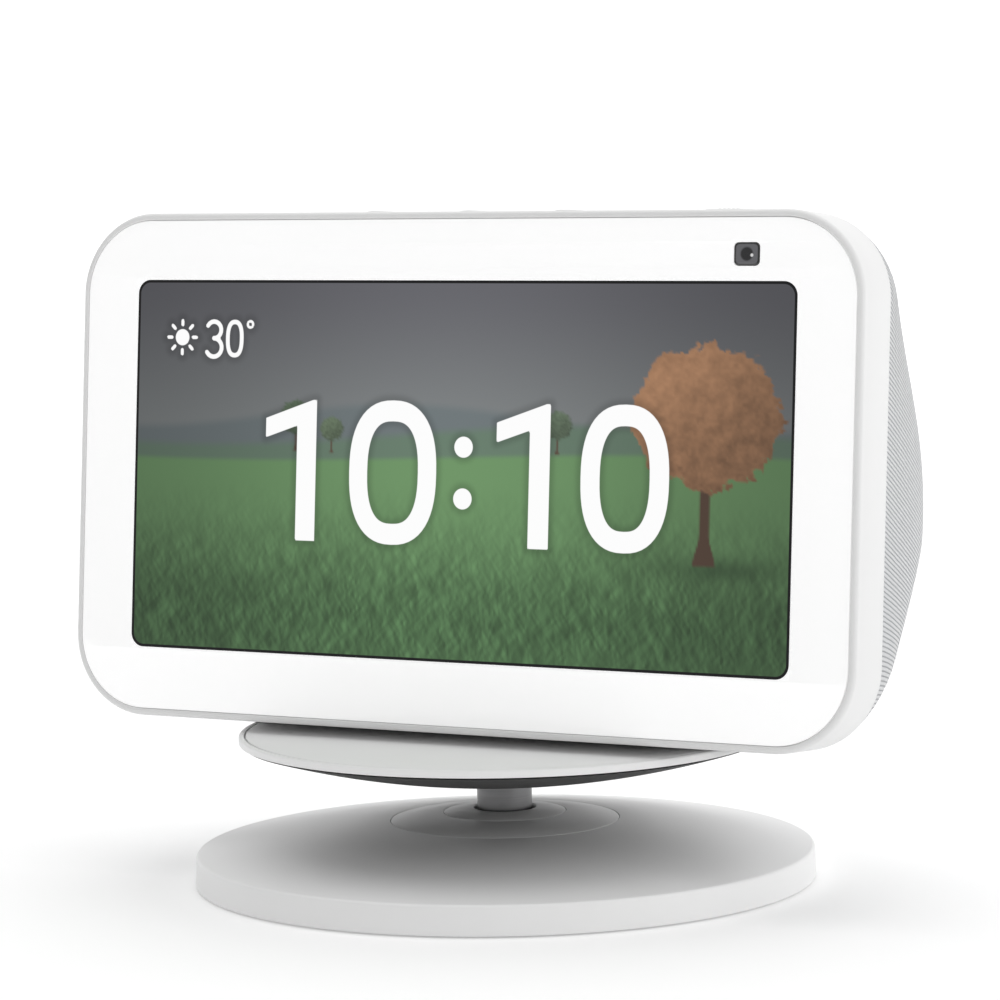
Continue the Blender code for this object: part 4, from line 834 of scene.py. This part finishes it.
def paint_flex(start):
    """Amber film over fine parallel conductors."""
    x = start.node("ShaderNodeSeparateXYZ", values={0: start.node("ShaderNodeTexCoord", out=3)})
    line = x.wave(0.5 * MM).step(0.3, 0.7)
    return {"Base Color": line.blend((0.42, 0.2, 0.04), (0.7, 0.38, 0.1)),
            "Roughness": 0.35 + 0.1 * start.noise(300.0), "Normal": line.bump(0.02 * MM)}


def paint_paper(start):
    """Pressed paper pulp: soft fibres and uneven darkness."""
    fibre = start.noise(1400.0, 4.0, (1, 0.4, 1))
    return {"Base Color": fibre.blend((0.035, 0.035, 0.035), (0.1, 0.1, 0.098)),
            "Roughness": 0.85 + 0.1 * fibre, "Normal": fibre.bump(0.08 * MM)}


cast_weight = look("cast_weight", paint_cast((0.25, 0.25, 0.26), 0.55, 900.0), Metallic=1.0)
bronze = look("sintered_bronze", paint_cast((0.6, 0.42, 0.2), 0.38, 2600.0), Metallic=1.0)
zinc = look("die_cast_zinc", paint_cast((0.5, 0.5, 0.52), 0.42, 1500.0), Metallic=1.0)
magnet = look("plated_magnet", paint_sheet_metal((0.6, 0.6, 0.61), 0.16, (1, 1, 1)), Metallic=1.0)
sheet = look("aluminium_sheet", paint_sheet_metal((0.76, 0.76, 0.77), 0.3, (0.04, 1, 1)), Metallic=1.0)
board = look("circuit_board", paint_board, Coat_Weight=0.3)
flex = look("flat_cable", paint_flex, Coat_Weight=0.4)
paper = look("cone_paper", paint_paper)
housing = look("housing_moulding", paint_white(0.55, 0.5, 2600.0, 0.03))
stock = {
    bright_steel: ["base_bottom_plate", *(f"base_screw_{i}" for i in (1, 2, 3)), "tilt_pin",
                   "tilt_bracket_left", "tilt_bracket_right", "bracket_screw_left", "bracket_screw_right",
                   "foot_steel_plate", "board_screw_1", "board_screw_2", "board_screw_3", "shield_can"],
    cast_weight: ["base_weight", "speaker_magnet"], bronze: ["swivel_bush", "swivel_nut"],
    zinc: ["base_hub"], magnet: ["plate_magnet_left", "plate_magnet_right"],
    sheet: ["mid_chassis", "heat_spreader"], board: ["main_board", "button_board"],
    flex: ["display_flex"], paper: ["speaker_cone"], housing: ["rear_housing"],
    dark_moulding: ["swivel_washer", "tilt_washer_left", "tilt_washer_right"],
    smoked_glass: ["camera_lens"],
    black_moulding: ["speaker_basket", "backlight_frame", "camera_module", "mic_mute_switch",
                     "volume_down_switch", "volume_up_switch"],
    grey_rubber: ["microphone_left", "microphone_right"],
    black_moulding.copy(): ["lcd_panel"],
}
for finish, names in stock.items():
    for name in names:
        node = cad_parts[name]
        for slot in node.material_slots:
            slot.material = finish


bpy.context.view_layer.update()
